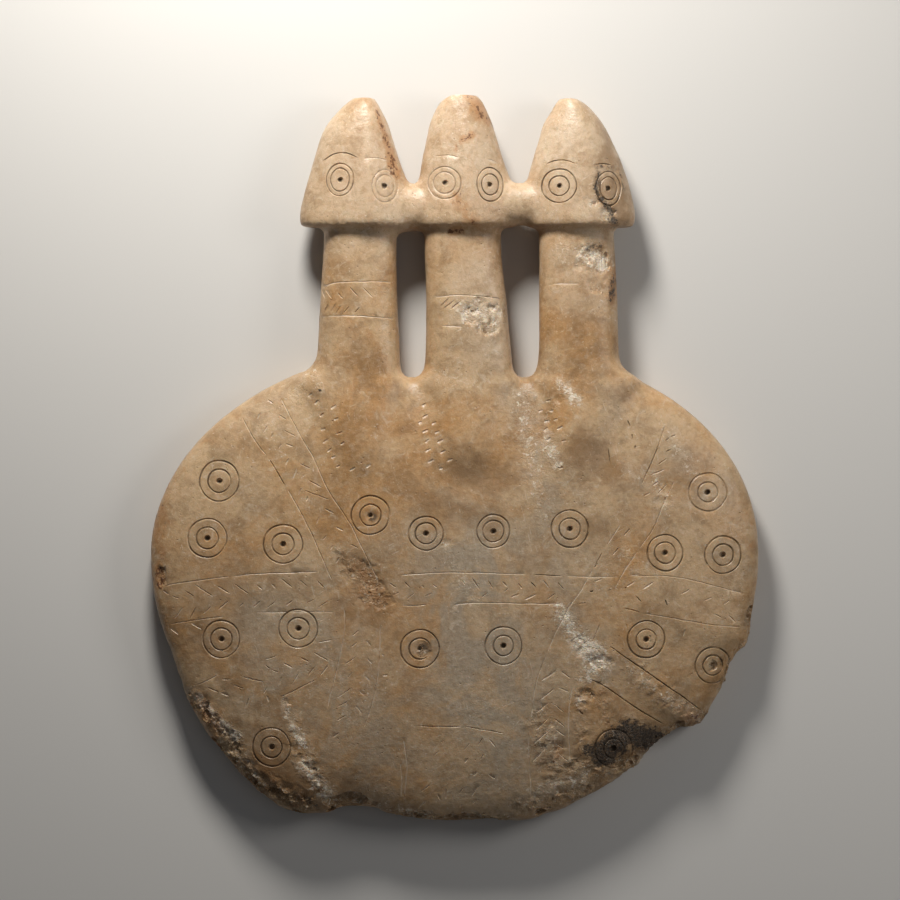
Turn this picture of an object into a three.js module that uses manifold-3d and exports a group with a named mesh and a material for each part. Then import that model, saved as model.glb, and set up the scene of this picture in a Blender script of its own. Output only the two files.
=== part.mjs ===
// A disc-shaped idol carved from one piece of alabaster: a round, slightly domed disc with a broken
// lower edge, three long necks and three tapering heads, joined side by side by two small bridges.
// It lies on its flat back. Seen from the front, +X runs to the viewer's right, +Y from the disc to
// the heads, and +Z out of the carved face, towards the viewer. Lengths are millimetres.
// Places on the disc are shares of its half width and of its drop, from the middle of its widest
// line. Places on a neck or a head are shares of that neck's or head's own size.
import * as THREE from "three";
import { mergeVertices } from "three/addons/utils/BufferGeometryUtils.js";
import Module from "manifold-3d";

// Disc
const discWidth = 201;
const discDrop = 88.1;
const crestHeight = 70;
const shoulderHeight = 58.7;
const discThickness = 22;
const discEdgeHeight = 9;
const backEdgeHeight = 5.5;
const backRounding = 3;
const domePower = 2.6;
const rightFullness = 2.15;
const outerShoulderRise = 2;
const rimInsets = [0, 1.2, 3.5];

// Necks
const leftNeckX = -31.5;
const middleNeckX = 3.4;
const rightNeckX = 40.6;
const neckLength = 49.2;
const neckWidth = 25.4;
const neckThickness = 17;
const neckLift = 2.5;
const neckFlare = 3;
const neckRoundness = 2.4;
const reliefLength = 40;
const reliefRise = 0.7;
const reliefSink = 1;

// Heads
const headLength = 42.2;
const headWidth = 36.6;
const headThickness = 22;
const headLift = 1.5;
const chinRounding = 1.3;
const headRoundness = { back: 2.8, frontRight: 1.7, frontLeft: 2.3 };

// Bridges between the heads
const leftBridgeHeight = 15.8;
const leftBridgeAboveChin = 6.6;
const rightBridgeHeight = 14.2;
const rightBridgeAboveChin = 7.7;
const bridgeThickness = 12;
const bridgeRoundness = 2.2;
const bridgeSwells = [1.12, 1, 1.12];

// Carving
const ringWidth = 1;
const ringDepth = 0.5;
const dotRadius = 0.95;
const dotDepth = 1.5;
const lineWidth = 0.9;
const lineDepth = 0.4;
const strokeWidth = 1;
const strokeDepth = 0.45;
const strokeGap = 0.12;
const cutterRise = 1.4;
const endRise = 0.04;

// How finely the round shapes are divided
const outlineStep = 7;
const lineStep = 24;
const neckLineStep = 6;
const faceSteps = [{ step: 4, share: 0.11 }, { step: 8, share: 0.42 }];
const neckSides = 10;
const headSides = 12;
const bridgeSides = 8;
const outerRingSides = 10;
const innerRingSides = 6;
const dotSides = 5;

const halfWidth = discWidth / 2;
const chinY = shoulderHeight + neckLength;
const neckFront = neckLift + neckThickness;

// The sound lower edge runs on from the widest line by these angles, and the break takes over
const soundLeftAngle = 25;
const soundRightAngle = 15;
const brokenEdge = [
  [0.97, -0.326], [0.938, -0.356], [0.908, -0.409], [0.895, -0.468], [0.852, -0.554], [0.813, -0.64],
  [0.753, -0.644], [0.695, -0.674], [0.642, -0.731], [0.612, -0.783], [0.537, -0.839], [0.465, -0.888],
  [0.386, -0.933], [0.308, -0.97], [0.215, -1], [0.051, -1], [-0.081, -0.993], [-0.179, -0.978],
  [-0.228, -0.966], [-0.284, -0.944], [-0.36, -0.94], [-0.409, -0.966], [-0.491, -0.974],
  [-0.567, -0.948], [-0.632, -0.899], [-0.724, -0.798], [-0.783, -0.708], [-0.846, -0.611],
];

// Chips and hollows broken out of the stone: place, three radii and height of the middle, as shares
// of the disc's half width, drop and thickness; each lump is turned by this much more than the last
const chipTurn = 0.7;
const chips = [
  { at: [0.93, -0.36], size: [0.045, 0.08, 0.36], height: 0.86 },
  { at: [0.83, -0.55], size: [0.04, 0.07, 0.27], height: 0.91 },
  { at: [0.69, -0.65], size: [0.13, 0.07, 0.32], height: 0.95 },
  { at: [0.56, -0.76], size: [0.09, 0.08, 0.36], height: 0.86 },
  { at: [0.44, -0.86], size: [0.09, 0.07, 0.36], height: 0.82 },
  { at: [0.31, -0.94], size: [0.09, 0.057, 0.32], height: 0.82 },
  { at: [0.03, -1.01], size: [0.14, 0.057, 0.41], height: 0.5 },
  { at: [-0.15, -1], size: [0.07, 0.05, 0.32], height: 0.64 },
  { at: [-0.3, -0.9], size: [0.1, 0.1, 0.41], height: 0.77 },
  { at: [-0.48, -0.95], size: [0.1, 0.08, 0.27], height: 0.82 },
  { at: [-0.62, -0.86], size: [0.08, 0.08, 0.27], height: 0.82 },
  { at: [-0.73, -0.72], size: [0.06, 0.1, 0.32], height: 0.82 },
  { at: [-0.81, -0.6], size: [0.045, 0.07, 0.32], height: 0.77 },
];

// One entry for each neck: place, width as a share of the neck width, and sideways lean at top and foot
const necks = [
  { x: leftNeckX, share: 0.985, lean: [0, -0.2] },
  { x: middleNeckX, share: 1.045, lean: [-0.8, 1.4] },
  { x: rightNeckX, share: 0.985, lean: [0, 0.2] },
];

// Stations down a neck, from inside its head to the shoulder: how far up the neck, width and front
// as shares of the neck's own, and how much of the flare is added; then down the face of the disc
const neckStations = [
  { way: 1.053, width: 0.97, front: 0.97, flare: 0 },
  { way: 0.5, width: 1.02, front: 1, flare: 0 },
  { way: 0.146, width: 1.08, front: 1.02, flare: 0 },
  { way: 0.037, width: 1.08, front: 1.03, flare: 0.25 },
  { way: -0.024, width: 1.08, front: 1.035, flare: 1 },
  { way: -0.122, width: 1.06, front: 1.045, flare: 0 },
];
const reliefStations = [{ way: 0.36, width: 1.06 }, { way: 0.76, width: 1.01 }];
const reliefEndWidth = 0.72;

// Heights on a head as shares of its length, and the thickness there as a share of the full one
const headStations = [0.06, 0.25, 0.44, 0.63, 0.81, 0.92, 1];
const headThicknessShares = [1, 0.98, 0.93, 0.84, 0.69, 0.56, 0.36];

// One entry for each head: half widths to the left and right of the neck's middle as shares of half
// the head's width, the ridge of the nose, the height as a share, and the eyes, each with its place
// and the two radii of its outer ring, and the clear brow
const heads = [
  {
    left: [1.08, 1.01, 0.9, 0.76, 0.58, 0.36, 0.12],
    right: [0.92, 0.86, 0.79, 0.67, 0.51, 0.4, 0.26],
    ridge: 0.22,
    height: 1,
    eyes: [{ at: [-0.33, 0.363], radius: [0.24, 0.29] }, { at: [0.475, 0.318], radius: [0.23, 0.29] }],
    brow: [[-0.67, 0.507], [-0.34, 0.583], [0.02, 0.524]],
  },
  {
    left: [0.96, 0.89, 0.81, 0.71, 0.58, 0.48, 0.22],
    right: [0.92, 0.86, 0.75, 0.61, 0.42, 0.32, 0.2],
    ridge: 0.1,
    height: 1.04,
    eyes: [{ at: [-0.37, 0.33], radius: [0.295, 0.29] }, { at: [0.45, 0.32], radius: [0.23, 0.305] }],
    brow: [[-0.58, 0.53], [-0.32, 0.545], [-0.07, 0.51]],
  },
  {
    left: [1.03, 0.97, 0.89, 0.76, 0.58, 0.45, 0.26],
    right: [1.04, 0.97, 0.86, 0.68, 0.45, 0.28, 0.02],
    ridge: 0.25,
    height: 1.01,
    eyes: [{ at: [-0.35, 0.318], radius: [0.305, 0.305] }, { at: [0.53, 0.296], radius: [0.225, 0.305] }],
    brow: [[-0.61, 0.486], [-0.34, 0.524], [-0.02, 0.481]],
  },
];
const pupilShare = 0.66;

// Ring-and-dot marks on the disc: radii of their two rings, and their places
const outerRing = 6.2;
const innerRing = 3.5;
const ringPlaces = [
  [-0.77, 0.277], [-0.809, 0.064], [-0.56, 0.043], [-0.275, 0.15], [-0.094, 0.083], [0.126, 0.09],
  [0.376, 0.099], [0.829, 0.236], [0.688, 0.009], [0.879, 0.002], [-0.763, -0.313], [-0.51, -0.271],
  [-0.113, -0.346], [0.159, -0.335], [0.626, -0.313], [0.846, -0.412], [-0.599, -0.715], [0.52, -0.723],
];

// Carved bands on the disc: two borders each, whether lines are cut along them, and how many chevrons
// fill them, each leaning along the band by a share of its length
const bands = [
  {
    sides: [
      [[-0.695, 0.513], [-0.573, 0.292], [-0.462, 0.064], [-0.396, -0.104]],
      [[-0.57, 0.588], [-0.468, 0.383], [-0.343, 0.12], [-0.245, -0.112]],
    ],
    lined: true,
    chevrons: 7,
    lean: 0.09,
  },
  {
    sides: [
      [[-0.944, -0.112], [-0.727, -0.078], [-0.425, -0.061], [-0.048, -0.06], [0.281, -0.075],
        [0.714, -0.083], [0.954, -0.146]],
      [[-0.905, -0.256], [-0.747, -0.228], [-0.386, -0.21], [-0.015, -0.176], [0.346, -0.184],
        [0.74, -0.24], [0.93, -0.265]],
    ],
    lined: true,
    chevrons: 12,
    lean: 0.03,
  },
  {
    sides: [
      [[0.692, 0.495], [0.606, 0.254], [0.455, -0.045], [0.3, -0.367]],
      [[0.724, 0.288], [0.599, 0.03], [0.445, -0.337]],
    ],
    lined: true,
    chevrons: 3,
    lean: -0.05,
  },
  {
    sides: [
      [[0.3, -0.367], [0.258, -0.544], [0.242, -0.731], [0.255, -0.918]],
      [[0.389, -0.487], [0.373, -0.694], [0.379, -0.787]],
    ],
    lined: false,
    chevrons: 4,
    lean: -0.1,
  },
  {
    sides: [
      [[-0.366, -0.176], [-0.363, -0.319], [-0.392, -0.468], [-0.409, -0.562]],
      [[-0.242, -0.251], [-0.248, -0.423], [-0.298, -0.645]],
    ],
    lined: false,
    chevrons: 4,
    lean: -0.06,
  },
  {
    sides: [
      [[-0.849, -0.49], [-0.626, -0.389], [-0.389, -0.311]],
      [[-0.8, -0.56], [-0.563, -0.524], [-0.452, -0.464]],
    ],
    lined: false,
    chevrons: 4,
    lean: 0.08,
  },
];

// Single lines on the disc
const lines = [
  [[0.5, -0.334], [0.659, -0.461], [0.823, -0.591]],
  [[0.435, -0.461], [0.56, -0.544], [0.691, -0.648]],
  [[-0.123, -0.637], [0.028, -0.637], [0.166, -0.666]],
  [[-0.169, -0.674], [-0.156, -0.768], [-0.166, -0.918]],
];

// Bands round the front of a neck: which neck, where they end along it, how far across, how many
// chevrons fill them and how much each leans
const neckBands = [
  { neck: 0, from: 0.62, to: 0.4, across: [-0.85, 0.85], chevrons: 4, lean: 0.12 },
  { neck: 1, from: 0.54, to: 0.35, across: [-0.75, 0.3], chevrons: 2, lean: 0.12 },
];

const wasm = await Module();
wasm.setup();

function signedVolume(points, faces) {
  let total = 0;
  for (let f = 0; f < faces.length; f += 3) {
    const corners = [0, 1, 2].map((k) => new THREE.Vector3().fromArray(points, faces[f + k] * 3));
    total += corners[0].dot(corners[1].clone().cross(corners[2]));
  }
  return total / 6;
}

// A closed three.js shape becomes a solid, turned inside out first if its faces point inwards
function toSolid(geometry) {
  geometry.deleteAttribute("normal");
  geometry.deleteAttribute("uv");
  const merged = mergeVertices(geometry, 1e-4);
  const vertProperties = new Float32Array(merged.attributes.position.array);
  const triVerts = new Uint32Array(merged.index.array);
  if (signedVolume(vertProperties, triVerts) < 0) {
    for (let f = 0; f < triVerts.length; f += 3) {
      [triVerts[f], triVerts[f + 1]] = [triVerts[f + 1], triVerts[f]];
    }
  }
  return new wasm.Manifold(new wasm.Mesh({ numProp: 3, vertProperties, triVerts }));
}

function toGeometry(solid) {
  const mesh = solid.getMesh();
  const geometry = new THREE.BufferGeometry();
  geometry.setAttribute("position", new THREE.BufferAttribute(new Float32Array(mesh.vertProperties), 3));
  geometry.setIndex(new THREE.BufferAttribute(new Uint32Array(mesh.triVerts), 1));
  geometry.computeVertexNormals();
  return geometry;
}

function shapeFrom(points, faces) {
  const geometry = new THREE.BufferGeometry();
  geometry.setAttribute("position", new THREE.Float32BufferAttribute(points.flatMap((p) => p.toArray()), 3));
  geometry.setIndex(faces.flat());
  return geometry;
}

// Joins two rings of points; the second may hold only every step-th point of the first
function skin(faces, outer, outerCount, inner, step) {
  const innerCount = Math.ceil(outerCount / step);
  for (let i = 0; i < outerCount; i += 1) {
    const from = Math.floor(i / step);
    const next = (i + 1) % outerCount;
    faces.push([outer + i, outer + next, inner + from]);
    if (next % step === 0) {
      faces.push([outer + next, inner + ((from + 1) % innerCount), inner + from]);
    }
  }
  return innerCount;
}

function cap(faces, points, start, count, turned) {
  const middle = new THREE.Vector3();
  for (let i = 0; i < count; i += 1) {
    middle.addScaledVector(points[start + i], 1 / count);
  }
  points.push(middle);
  for (let i = 0; i < count; i += 1) {
    const pair = [start + i, start + ((i + 1) % count)];
    faces.push(turned ? [pair[1], pair[0], points.length - 1] : [pair[0], pair[1], points.length - 1]);
  }
}

// A solid skinned over sections that all have the same number of points
function loft(sections) {
  const points = sections.flat();
  const faces = [];
  const count = sections[0].length;
  for (let s = 0; s + 1 < sections.length; s += 1) {
    skin(faces, s * count, count, (s + 1) * count, 1);
  }
  cap(faces, points, 0, count, true);
  cap(faces, points, (sections.length - 1) * count, count, false);
  return toSolid(shapeFrom(points, faces));
}

const onDisc = ([x, y]) => new THREE.Vector2(x * halfWidth, y * discDrop);

// The outline seen from the front: an oval cut off at the shoulders, with the broken edge below
function discOutline() {
  const outline = [];
  const addArc = (from, to, rise) => {
    for (let angle = from; angle < to; angle += outlineStep) {
      const a = THREE.MathUtils.degToRad(angle);
      const power = angle > 0 && angle < 90 ? 2 / rightFullness : 1;
      const x = halfWidth * Math.sign(Math.cos(a)) * Math.abs(Math.cos(a)) ** power;
      const y = rise * Math.sign(Math.sin(a)) * Math.abs(Math.sin(a)) ** power;
      const outside = x < leftNeckX || x > rightNeckX;
      outline.push(new THREE.Vector2(x, Math.min(y, shoulderHeight + (outside ? outerShoulderRise : 0))));
    }
  };
  addArc(-soundRightAngle, 0, discDrop);
  addArc(0, 180, crestHeight);
  addArc(180, 180 + soundLeftAngle, discDrop);
  brokenEdge.toReversed().forEach((place) => outline.push(onDisc(place)));
  return outline;
}

// Height of the domed face where the way in from the edge is this share of the way to the middle
function domeHeight(share) {
  const rise = (1 - (1 - share) ** domePower) ** (1 / domePower);
  return discEdgeHeight + (discThickness - discEdgeHeight) * rise;
}

function disc() {
  const outline = discOutline();
  const points = [];
  const faces = [];
  const addRing = (step, shareIn, heightAt) => {
    outline.forEach((place, i) => {
      if (i % step === 0) {
        const share = shareIn(place.length());
        const inner = place.clone().multiplyScalar(1 - share);
        points.push(new THREE.Vector3(inner.x, inner.y, heightAt(share)));
      }
    });
  };
  addRing(1, (reach) => backRounding / reach, () => 0);
  addRing(1, () => 0, () => backEdgeHeight);
  rimInsets.forEach((inset) => addRing(1, (reach) => inset / reach, domeHeight));
  let start = 0;
  let count = outline.length;
  for (let r = 0; r <= rimInsets.length; r += 1) {
    skin(faces, start, count, start + count, 1);
    start += count;
  }
  let fineness = 1;
  faceSteps.forEach(({ step, share }) => {
    const nextStart = points.length;
    addRing(step, () => share, domeHeight);
    count = skin(faces, start, count, nextStart, step / fineness);
    start = nextStart;
    fineness = step;
  });
  points.push(new THREE.Vector3(0, 0, discThickness));
  for (let i = 0; i < count; i += 1) {
    faces.push([start + i, start + ((i + 1) % count), points.length - 1]);
  }
  cap(faces, points, 0, outline.length, true);
  return toSolid(shapeFrom(points, faces));
}

// A rounded closed section; each quarter has its own reach and roundness
function section(sides, reachAt, place) {
  return Array.from({ length: sides }, (_, i) => {
    const angle = (i / sides) * 2 * Math.PI;
    const across = Math.cos(angle);
    const up = Math.sin(angle);
    const { width, depth, power } = reachAt(across >= 0, up >= 0);
    const a = Math.sign(across) * width * Math.abs(across) ** (2 / power);
    const b = Math.sign(up) * depth * Math.abs(up) ** (2 / power);
    return place(a, b);
  });
}

// A neck runs from inside its head down the front of the disc, where it ends as a low swelling
function neck({ x, share, lean }) {
  const half = (neckWidth * share) / 2;
  const flatSection = (y, width, front) => {
    const middleX = x + THREE.MathUtils.lerp(lean[0], lean[1], Math.min(1, (chinY - y) / neckLength));
    const middleZ = (front + neckLift) / 2;
    const reach = { width, depth: (front - neckLift) / 2, power: neckRoundness };
    return section(neckSides, () => reach, (a, b) => new THREE.Vector3(middleX + a, y, middleZ + b));
  };
  const sections = neckStations.map(({ way, width, front, flare }) => {
    const y = shoulderHeight + neckLength * way;
    return flatSection(y, half * width + neckFlare * flare, neckLift + neckThickness * front);
  });
  reliefStations.forEach(({ way, width }) => {
    const crest = neckFront + (discThickness + reliefRise - neckFront) * Math.sin((way * Math.PI) / 2);
    sections.push(flatSection(shoulderHeight - reliefLength * way, half * width, crest));
  });
  const footY = shoulderHeight - reliefLength;
  sections.push(flatSection(footY, half * reliefEndWidth, discThickness - reliefSink));
  return loft(sections);
}

// A head is a tapering wedge with an upright ridge for a nose and a flat chin
function head({ left, right, ridge, height }, { x }) {
  const halfHead = headWidth / 2;
  const middleZ = headLift + headThickness / 2;
  const headSection = (y, leftShare, rightShare, thicknessShare, shrink) => {
    const ridgeX = x + ridge * halfHead * (leftShare + rightShare) * 0.5;
    const depth = (headThickness / 2) * thicknessShare - shrink;
    const reachAt = (toRight, toFront) => ({
      width: (toRight ? x + rightShare * halfHead - ridgeX : ridgeX - x + leftShare * halfHead) - shrink,
      depth,
      power: headRoundness[!toFront ? "back" : toRight ? "frontRight" : "frontLeft"],
    });
    return section(headSides, reachAt, (a, b) => new THREE.Vector3(ridgeX + a, y, middleZ + b));
  };
  const tall = headLength * height;
  const sections = [
    headSection(chinY, left[0], right[0], 1, chinRounding),
    headSection(chinY + chinRounding, left[0], right[0], 1, 0),
  ];
  headStations.forEach((station, i) => {
    sections.push(headSection(chinY + tall * station, left[i], right[i], headThicknessShares[i], 0));
  });
  return loft(sections);
}

// A waisted bar from one head to the next
function bridge(from, to, height, aboveChin) {
  const middleY = chinY + aboveChin;
  const middleZ = headLift + headThickness / 2;
  const sections = bridgeSwells.map((swell, i, all) => {
    const x = THREE.MathUtils.lerp(from, to, i / (all.length - 1));
    const depth = (bridgeThickness / 2) * swell;
    const reach = { width: (height / 2) * swell, depth, power: bridgeRoundness };
    return section(bridgeSides, () => reach, (a, b) => new THREE.Vector3(x, middleY + a, middleZ + b));
  });
  return loft(sections);
}

function body() {
  const pieces = [disc()];
  necks.forEach((place, i) => pieces.push(neck(place), head(heads[i], place)));
  pieces.push(bridge(leftNeckX, middleNeckX, leftBridgeHeight, leftBridgeAboveChin));
  pieces.push(bridge(middleNeckX, rightNeckX, rightBridgeHeight, rightBridgeAboveChin));
  return wasm.Manifold.union(pieces);
}

// Height of the uncarved front above the back at one place, for the cutters that follow it
function frontFinder(solid) {
  const surface = new THREE.Mesh(toGeometry(solid));
  const ray = new THREE.Raycaster();
  const down = new THREE.Vector3(0, 0, -1);
  return (x, y) => {
    ray.set(new THREE.Vector3(x, y, discThickness * 10), down);
    const hits = ray.intersectObject(surface, false);
    return hits.length > 0 ? hits[0].point.z : discEdgeHeight;
  };
}

// A V-shaped cutter along a path on the front; an open one rises out of the stone at both ends
function groove(path, width, depth, closed, frontAt) {
  const last = path.length - 1;
  const corner = (place, above) => new THREE.Vector3(place.x, place.y, frontAt(place.x, place.y) + above);
  const sections = path.map((place, i) => {
    const before = path[closed ? (i + last) % path.length : Math.max(i - 1, 0)];
    const after = path[closed ? (i + 1) % path.length : Math.min(i + 1, last)];
    const side = after.clone().sub(before).normalize().rotateAround(new THREE.Vector2(), Math.PI / 2);
    side.multiplyScalar(((width / 2) * (depth + cutterRise)) / depth);
    const atEnd = !closed && (i === 0 || i === last);
    return [
      corner(place.clone().add(side), cutterRise),
      corner(place.clone().sub(side), cutterRise),
      corner(place, atEnd ? endRise : -depth),
    ];
  });
  if (!closed) {
    return loft(sections);
  }
  const faces = [];
  sections.forEach((_, i) => skin(faces, i * 3, 3, ((i + 1) % sections.length) * 3, 1));
  return toSolid(shapeFrom(sections.flat(), faces));
}

function ringGroove(middle, radiusX, radiusY, sides, frontAt) {
  const path = Array.from({ length: sides }, (_, i) => {
    const angle = (i / sides) * 2 * Math.PI;
    return new THREE.Vector2(middle.x + radiusX * Math.cos(angle), middle.y + radiusY * Math.sin(angle));
  });
  return groove(path, ringWidth, ringDepth, true, frontAt);
}

function drilledDot(middle, frontAt) {
  const rise = cutterRise;
  const radius = (dotRadius * (dotDepth + rise)) / dotDepth;
  const cone = new THREE.ConeGeometry(radius, dotDepth + rise, dotSides);
  cone.rotateX(-Math.PI / 2);
  cone.translate(middle.x, middle.y, frontAt(middle.x, middle.y) + (rise - dotDepth) / 2);
  return toSolid(cone);
}

function lineGroove(places, step, frontAt) {
  const curve = new THREE.SplineCurve(places);
  const path = curve.getSpacedPoints(Math.max(2, Math.round(curve.getLength() / step)));
  return groove(path, lineWidth, lineDepth, false, frontAt);
}

// One cut of the graver: an upside-down pyramid, deepest in the middle
function stroke(from, to, frontAt) {
  const middle = from.clone().lerp(to, 0.5);
  const grow = (strokeDepth + cutterRise) / strokeDepth;
  const along = to.clone().sub(from).multiplyScalar(grow / 2);
  const side = along.clone().normalize().rotateAround(new THREE.Vector2(), Math.PI / 2);
  side.multiplyScalar((strokeWidth / 2) * grow);
  const front = frontAt(middle.x, middle.y);
  const slope = (frontAt(to.x, to.y) - frontAt(from.x, from.y)) / 2;
  const points = [along, side, along.clone().negate(), side.clone().negate()].map((way, i) => {
    const tilt = [slope * grow, 0, -slope * grow, 0][i];
    return new THREE.Vector3(middle.x + way.x, middle.y + way.y, front + tilt + cutterRise);
  });
  points.push(new THREE.Vector3(middle.x, middle.y, front - strokeDepth));
  return toSolid(shapeFrom(points, [[0, 1, 3], [1, 2, 3], [1, 0, 4], [2, 1, 4], [3, 2, 4], [0, 3, 4]]));
}

// Chevrons between two border lines, leaning along the band by a share of its length
function chevrons(first, second, count, lean, frontAt) {
  const strokes = [];
  for (let i = 0; i < count; i += 1) {
    const way = (i + 0.5) / count;
    const tip = THREE.MathUtils.clamp(way + lean, 0, 1);
    const middle = first.getPoint(tip).lerp(second.getPoint(tip), 0.5);
    [first, second].forEach((side) => {
      const foot = side.getPoint(way);
      const [from, to] = [strokeGap, 1 - strokeGap].map((share) => foot.clone().lerp(middle, share));
      strokes.push(stroke(from, to, frontAt));
    });
  }
  return strokes;
}

function discCarving(frontAt) {
  const cutters = [];
  ringPlaces.map(onDisc).forEach((middle) => {
    cutters.push(ringGroove(middle, outerRing, outerRing, outerRingSides, frontAt));
    cutters.push(ringGroove(middle, innerRing, innerRing, innerRingSides, frontAt));
    cutters.push(drilledDot(middle, frontAt));
  });
  bands.forEach(({ sides, lined, chevrons: count, lean }) => {
    const borders = sides.map((side) => side.map(onDisc));
    if (lined) {
      cutters.push(...borders.map((border) => lineGroove(border, lineStep, frontAt)));
    }
    const [first, second] = borders.map((border) => new THREE.SplineCurve(border));
    cutters.push(...chevrons(first, second, count, lean, frontAt));
  });
  lines.forEach((line) => cutters.push(lineGroove(line.map(onDisc), lineStep, frontAt)));
  return cutters;
}

function faceCarving({ eyes, brow }, { x }, frontAt) {
  const onHead = ([across, up]) => new THREE.Vector2(x + (across * headWidth) / 2, chinY + up * headLength);
  const cutters = [];
  eyes.forEach(({ at, radius }) => {
    const middle = onHead(at);
    const [radiusX, radiusY] = radius.map((share) => (share * headWidth) / 2);
    cutters.push(ringGroove(middle, radiusX, radiusY, outerRingSides, frontAt));
    cutters.push(ringGroove(middle, radiusX * pupilShare, radiusY * pupilShare, innerRingSides, frontAt));
    cutters.push(drilledDot(middle, frontAt));
  });
  cutters.push(lineGroove(brow.map(onHead), neckLineStep, frontAt));
  return cutters;
}

function neckCarving({ neck: index, from, to, across, chevrons: count, lean }, frontAt) {
  const { x, share } = necks[index];
  const half = (neckWidth * share) / 2;
  const borders = [from, to].map((way) =>
    across.map((side) => new THREE.Vector2(x + side * half, shoulderHeight + neckLength * way)));
  const cutters = borders.map((border) => lineGroove(border, neckLineStep, frontAt));
  const [first, second] = borders.map((border) => new THREE.SplineCurve(border));
  cutters.push(...chevrons(first, second, count, lean, frontAt));
  return cutters;
}

function chip({ at, size, height }, index) {
  const lump = new THREE.DodecahedronGeometry(1);
  lump.rotateZ(index);
  lump.rotateX(index * chipTurn);
  const [width, drop, thickness] = size;
  lump.scale(width * halfWidth, drop * discDrop, thickness * discThickness);
  const middle = onDisc(at);
  lump.translate(middle.x, middle.y, height * discThickness);
  return toSolid(lump);
}

function idol() {
  const uncarved = body();
  const frontAt = frontFinder(uncarved);
  const cutters = discCarving(frontAt);
  heads.forEach((face, i) => cutters.push(...faceCarving(face, necks[i], frontAt)));
  neckBands.forEach((band) => cutters.push(...neckCarving(band, frontAt)));
  chips.forEach((place, i) => cutters.push(chip(place, i)));
  const carved = uncarved.subtract(wasm.Manifold.union(cutters));
  const alabaster = new THREE.MeshStandardMaterial({
    color: 0xcdb596,
    roughness: 0.55,
    metalness: 0,
    flatShading: true,
  });
  const mesh = new THREE.Mesh(toGeometry(carved), alabaster);
  mesh.name = "idol";
  return mesh;
}

// The frame's origin is under the middle of the whole figure, on the surface it lies on
const model = new THREE.Group();
const figure = idol();
const box = new THREE.Box3().setFromObject(figure);
const middle = box.getCenter(new THREE.Vector3());
figure.position.set(-middle.x, -middle.y, -box.min.z);
model.add(figure);

export default model;
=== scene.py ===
import math
import random

import bmesh
import bpy
import numpy as np
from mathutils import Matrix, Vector, noise
from mathutils.bvhtree import BVHTree
from mathutils.kdtree import KDTree


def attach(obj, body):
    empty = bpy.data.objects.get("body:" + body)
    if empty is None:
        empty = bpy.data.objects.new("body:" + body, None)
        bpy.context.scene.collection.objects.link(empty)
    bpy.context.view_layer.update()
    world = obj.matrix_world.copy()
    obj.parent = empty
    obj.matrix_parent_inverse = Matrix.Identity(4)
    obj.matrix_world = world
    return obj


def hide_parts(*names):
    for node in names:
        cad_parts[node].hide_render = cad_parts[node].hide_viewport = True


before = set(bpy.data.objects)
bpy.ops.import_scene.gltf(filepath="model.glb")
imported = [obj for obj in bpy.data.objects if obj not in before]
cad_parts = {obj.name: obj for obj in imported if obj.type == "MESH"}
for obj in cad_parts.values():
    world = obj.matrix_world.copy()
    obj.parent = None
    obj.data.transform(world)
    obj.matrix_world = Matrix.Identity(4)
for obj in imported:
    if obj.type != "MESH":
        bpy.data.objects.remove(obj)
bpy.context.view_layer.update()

# Disc-shaped idol of honey-coloured alabaster, lying on its back. Lengths are metres, and the lists of
# places are written in millimetres from the middle of the figure.
mm = 0.001

# Disc: an oval with its widest line at disc_middle_y, cut off at the shoulders and broken below
disc_middle_y = -31.84
disc_half_width = 100.5
disc_crest = 70.0
disc_drop = 88.1
right_fullness = 2.15
shoulder_y = 27.0
outer_shoulder_y = 28.9
disc_thickness = 22.0
disc_edge_height = 9.0
back_edge_height = 5.0
back_rounding = 2.5
dome_power = 2.6
outline_steps = 480
sound_left_angle = 200
sound_right_angle = -12.5
outer_shoulders = (-34, 44)
dome_shares = [0.0, 0.004, 0.012, 0.025, 0.045, 0.07, 0.1, 0.14, 0.19, 0.25, 0.33, 0.43, 0.55, 0.7, 0.85, 1.0]

# Necks and heads
neck_front = 19.5
neck_back = 2.5
neck_relief = 0.9
neck_sink = 2.2
neck_power = 2.35
neck_root_top = 21
neck_middle = 4
outer_foot = 43
outer_root_top = 31
root_bottom = -18
root_reach = 64
root_floor = 10
head_middle_height = 12.4
head_half_thickness = 10.9
head_back_power = 2.9
cheek_powers = (1.9, 1.55)
bridge_power = 2.2
bridge_steps = 14
form_sides = 72

# Runs of levels down a neck: highest, lowest and how many
neck_levels = [(80, 34, 16), (32, 16, 16), (13, -10, 8)]

# Surface
remesh_size = 1.15 * mm
coarse_face = 0.3
rub_rounds = 3
root_rounds = 22
swell = 0.28 * mm
swell_size = 26 * mm
dimple = 0.07 * mm
dimple_size = 6 * mm
back_dip = 0.35 * mm
back_dip_size = 17 * mm
coarse_flake = 2.6 * mm
fine_flake = 1.2 * mm
break_grit = 1.5 * mm
crumb_patch = 3.4 * mm
scar_border = 2.2 * mm
scar_flake = 3.0 * mm
scar_grit = 1.1 * mm
back_level = 3.2 * mm
back_share_kept = 0.7
skin_share_kept = 0.78
crease_angle = 32

# Cutting
ring_width = 0.92
dot_radius = 0.9
dot_depth = 1.4
eye_dot_depth = 0.7
eye_cut_share = 0.85
cutter_rise = 0.5
above_all = 60
cut_floor_reach = 0.05 * mm
ring_steps_per_mm = 7.5
line_step = 1.5
line_shake = 0.14
stroke_step = 1.3
stroke_shake = 0.12
stroke_widths = (0.45, 0.75)
dash_widths = (0.8, 1.15)
dash_step = 0.5
dash_shake = 0.05
depth_spread = (0.8, 1.2)

# Small lumps along the break
lump_spacing = 3
lump_sizes = (1.3, 3.0)
lump_lengths = (0.8, 1.6)
lump_depths = (0.6, 1.1)
lump_heights = (5.0, 19.0)
lump_reach = 1.4

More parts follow.
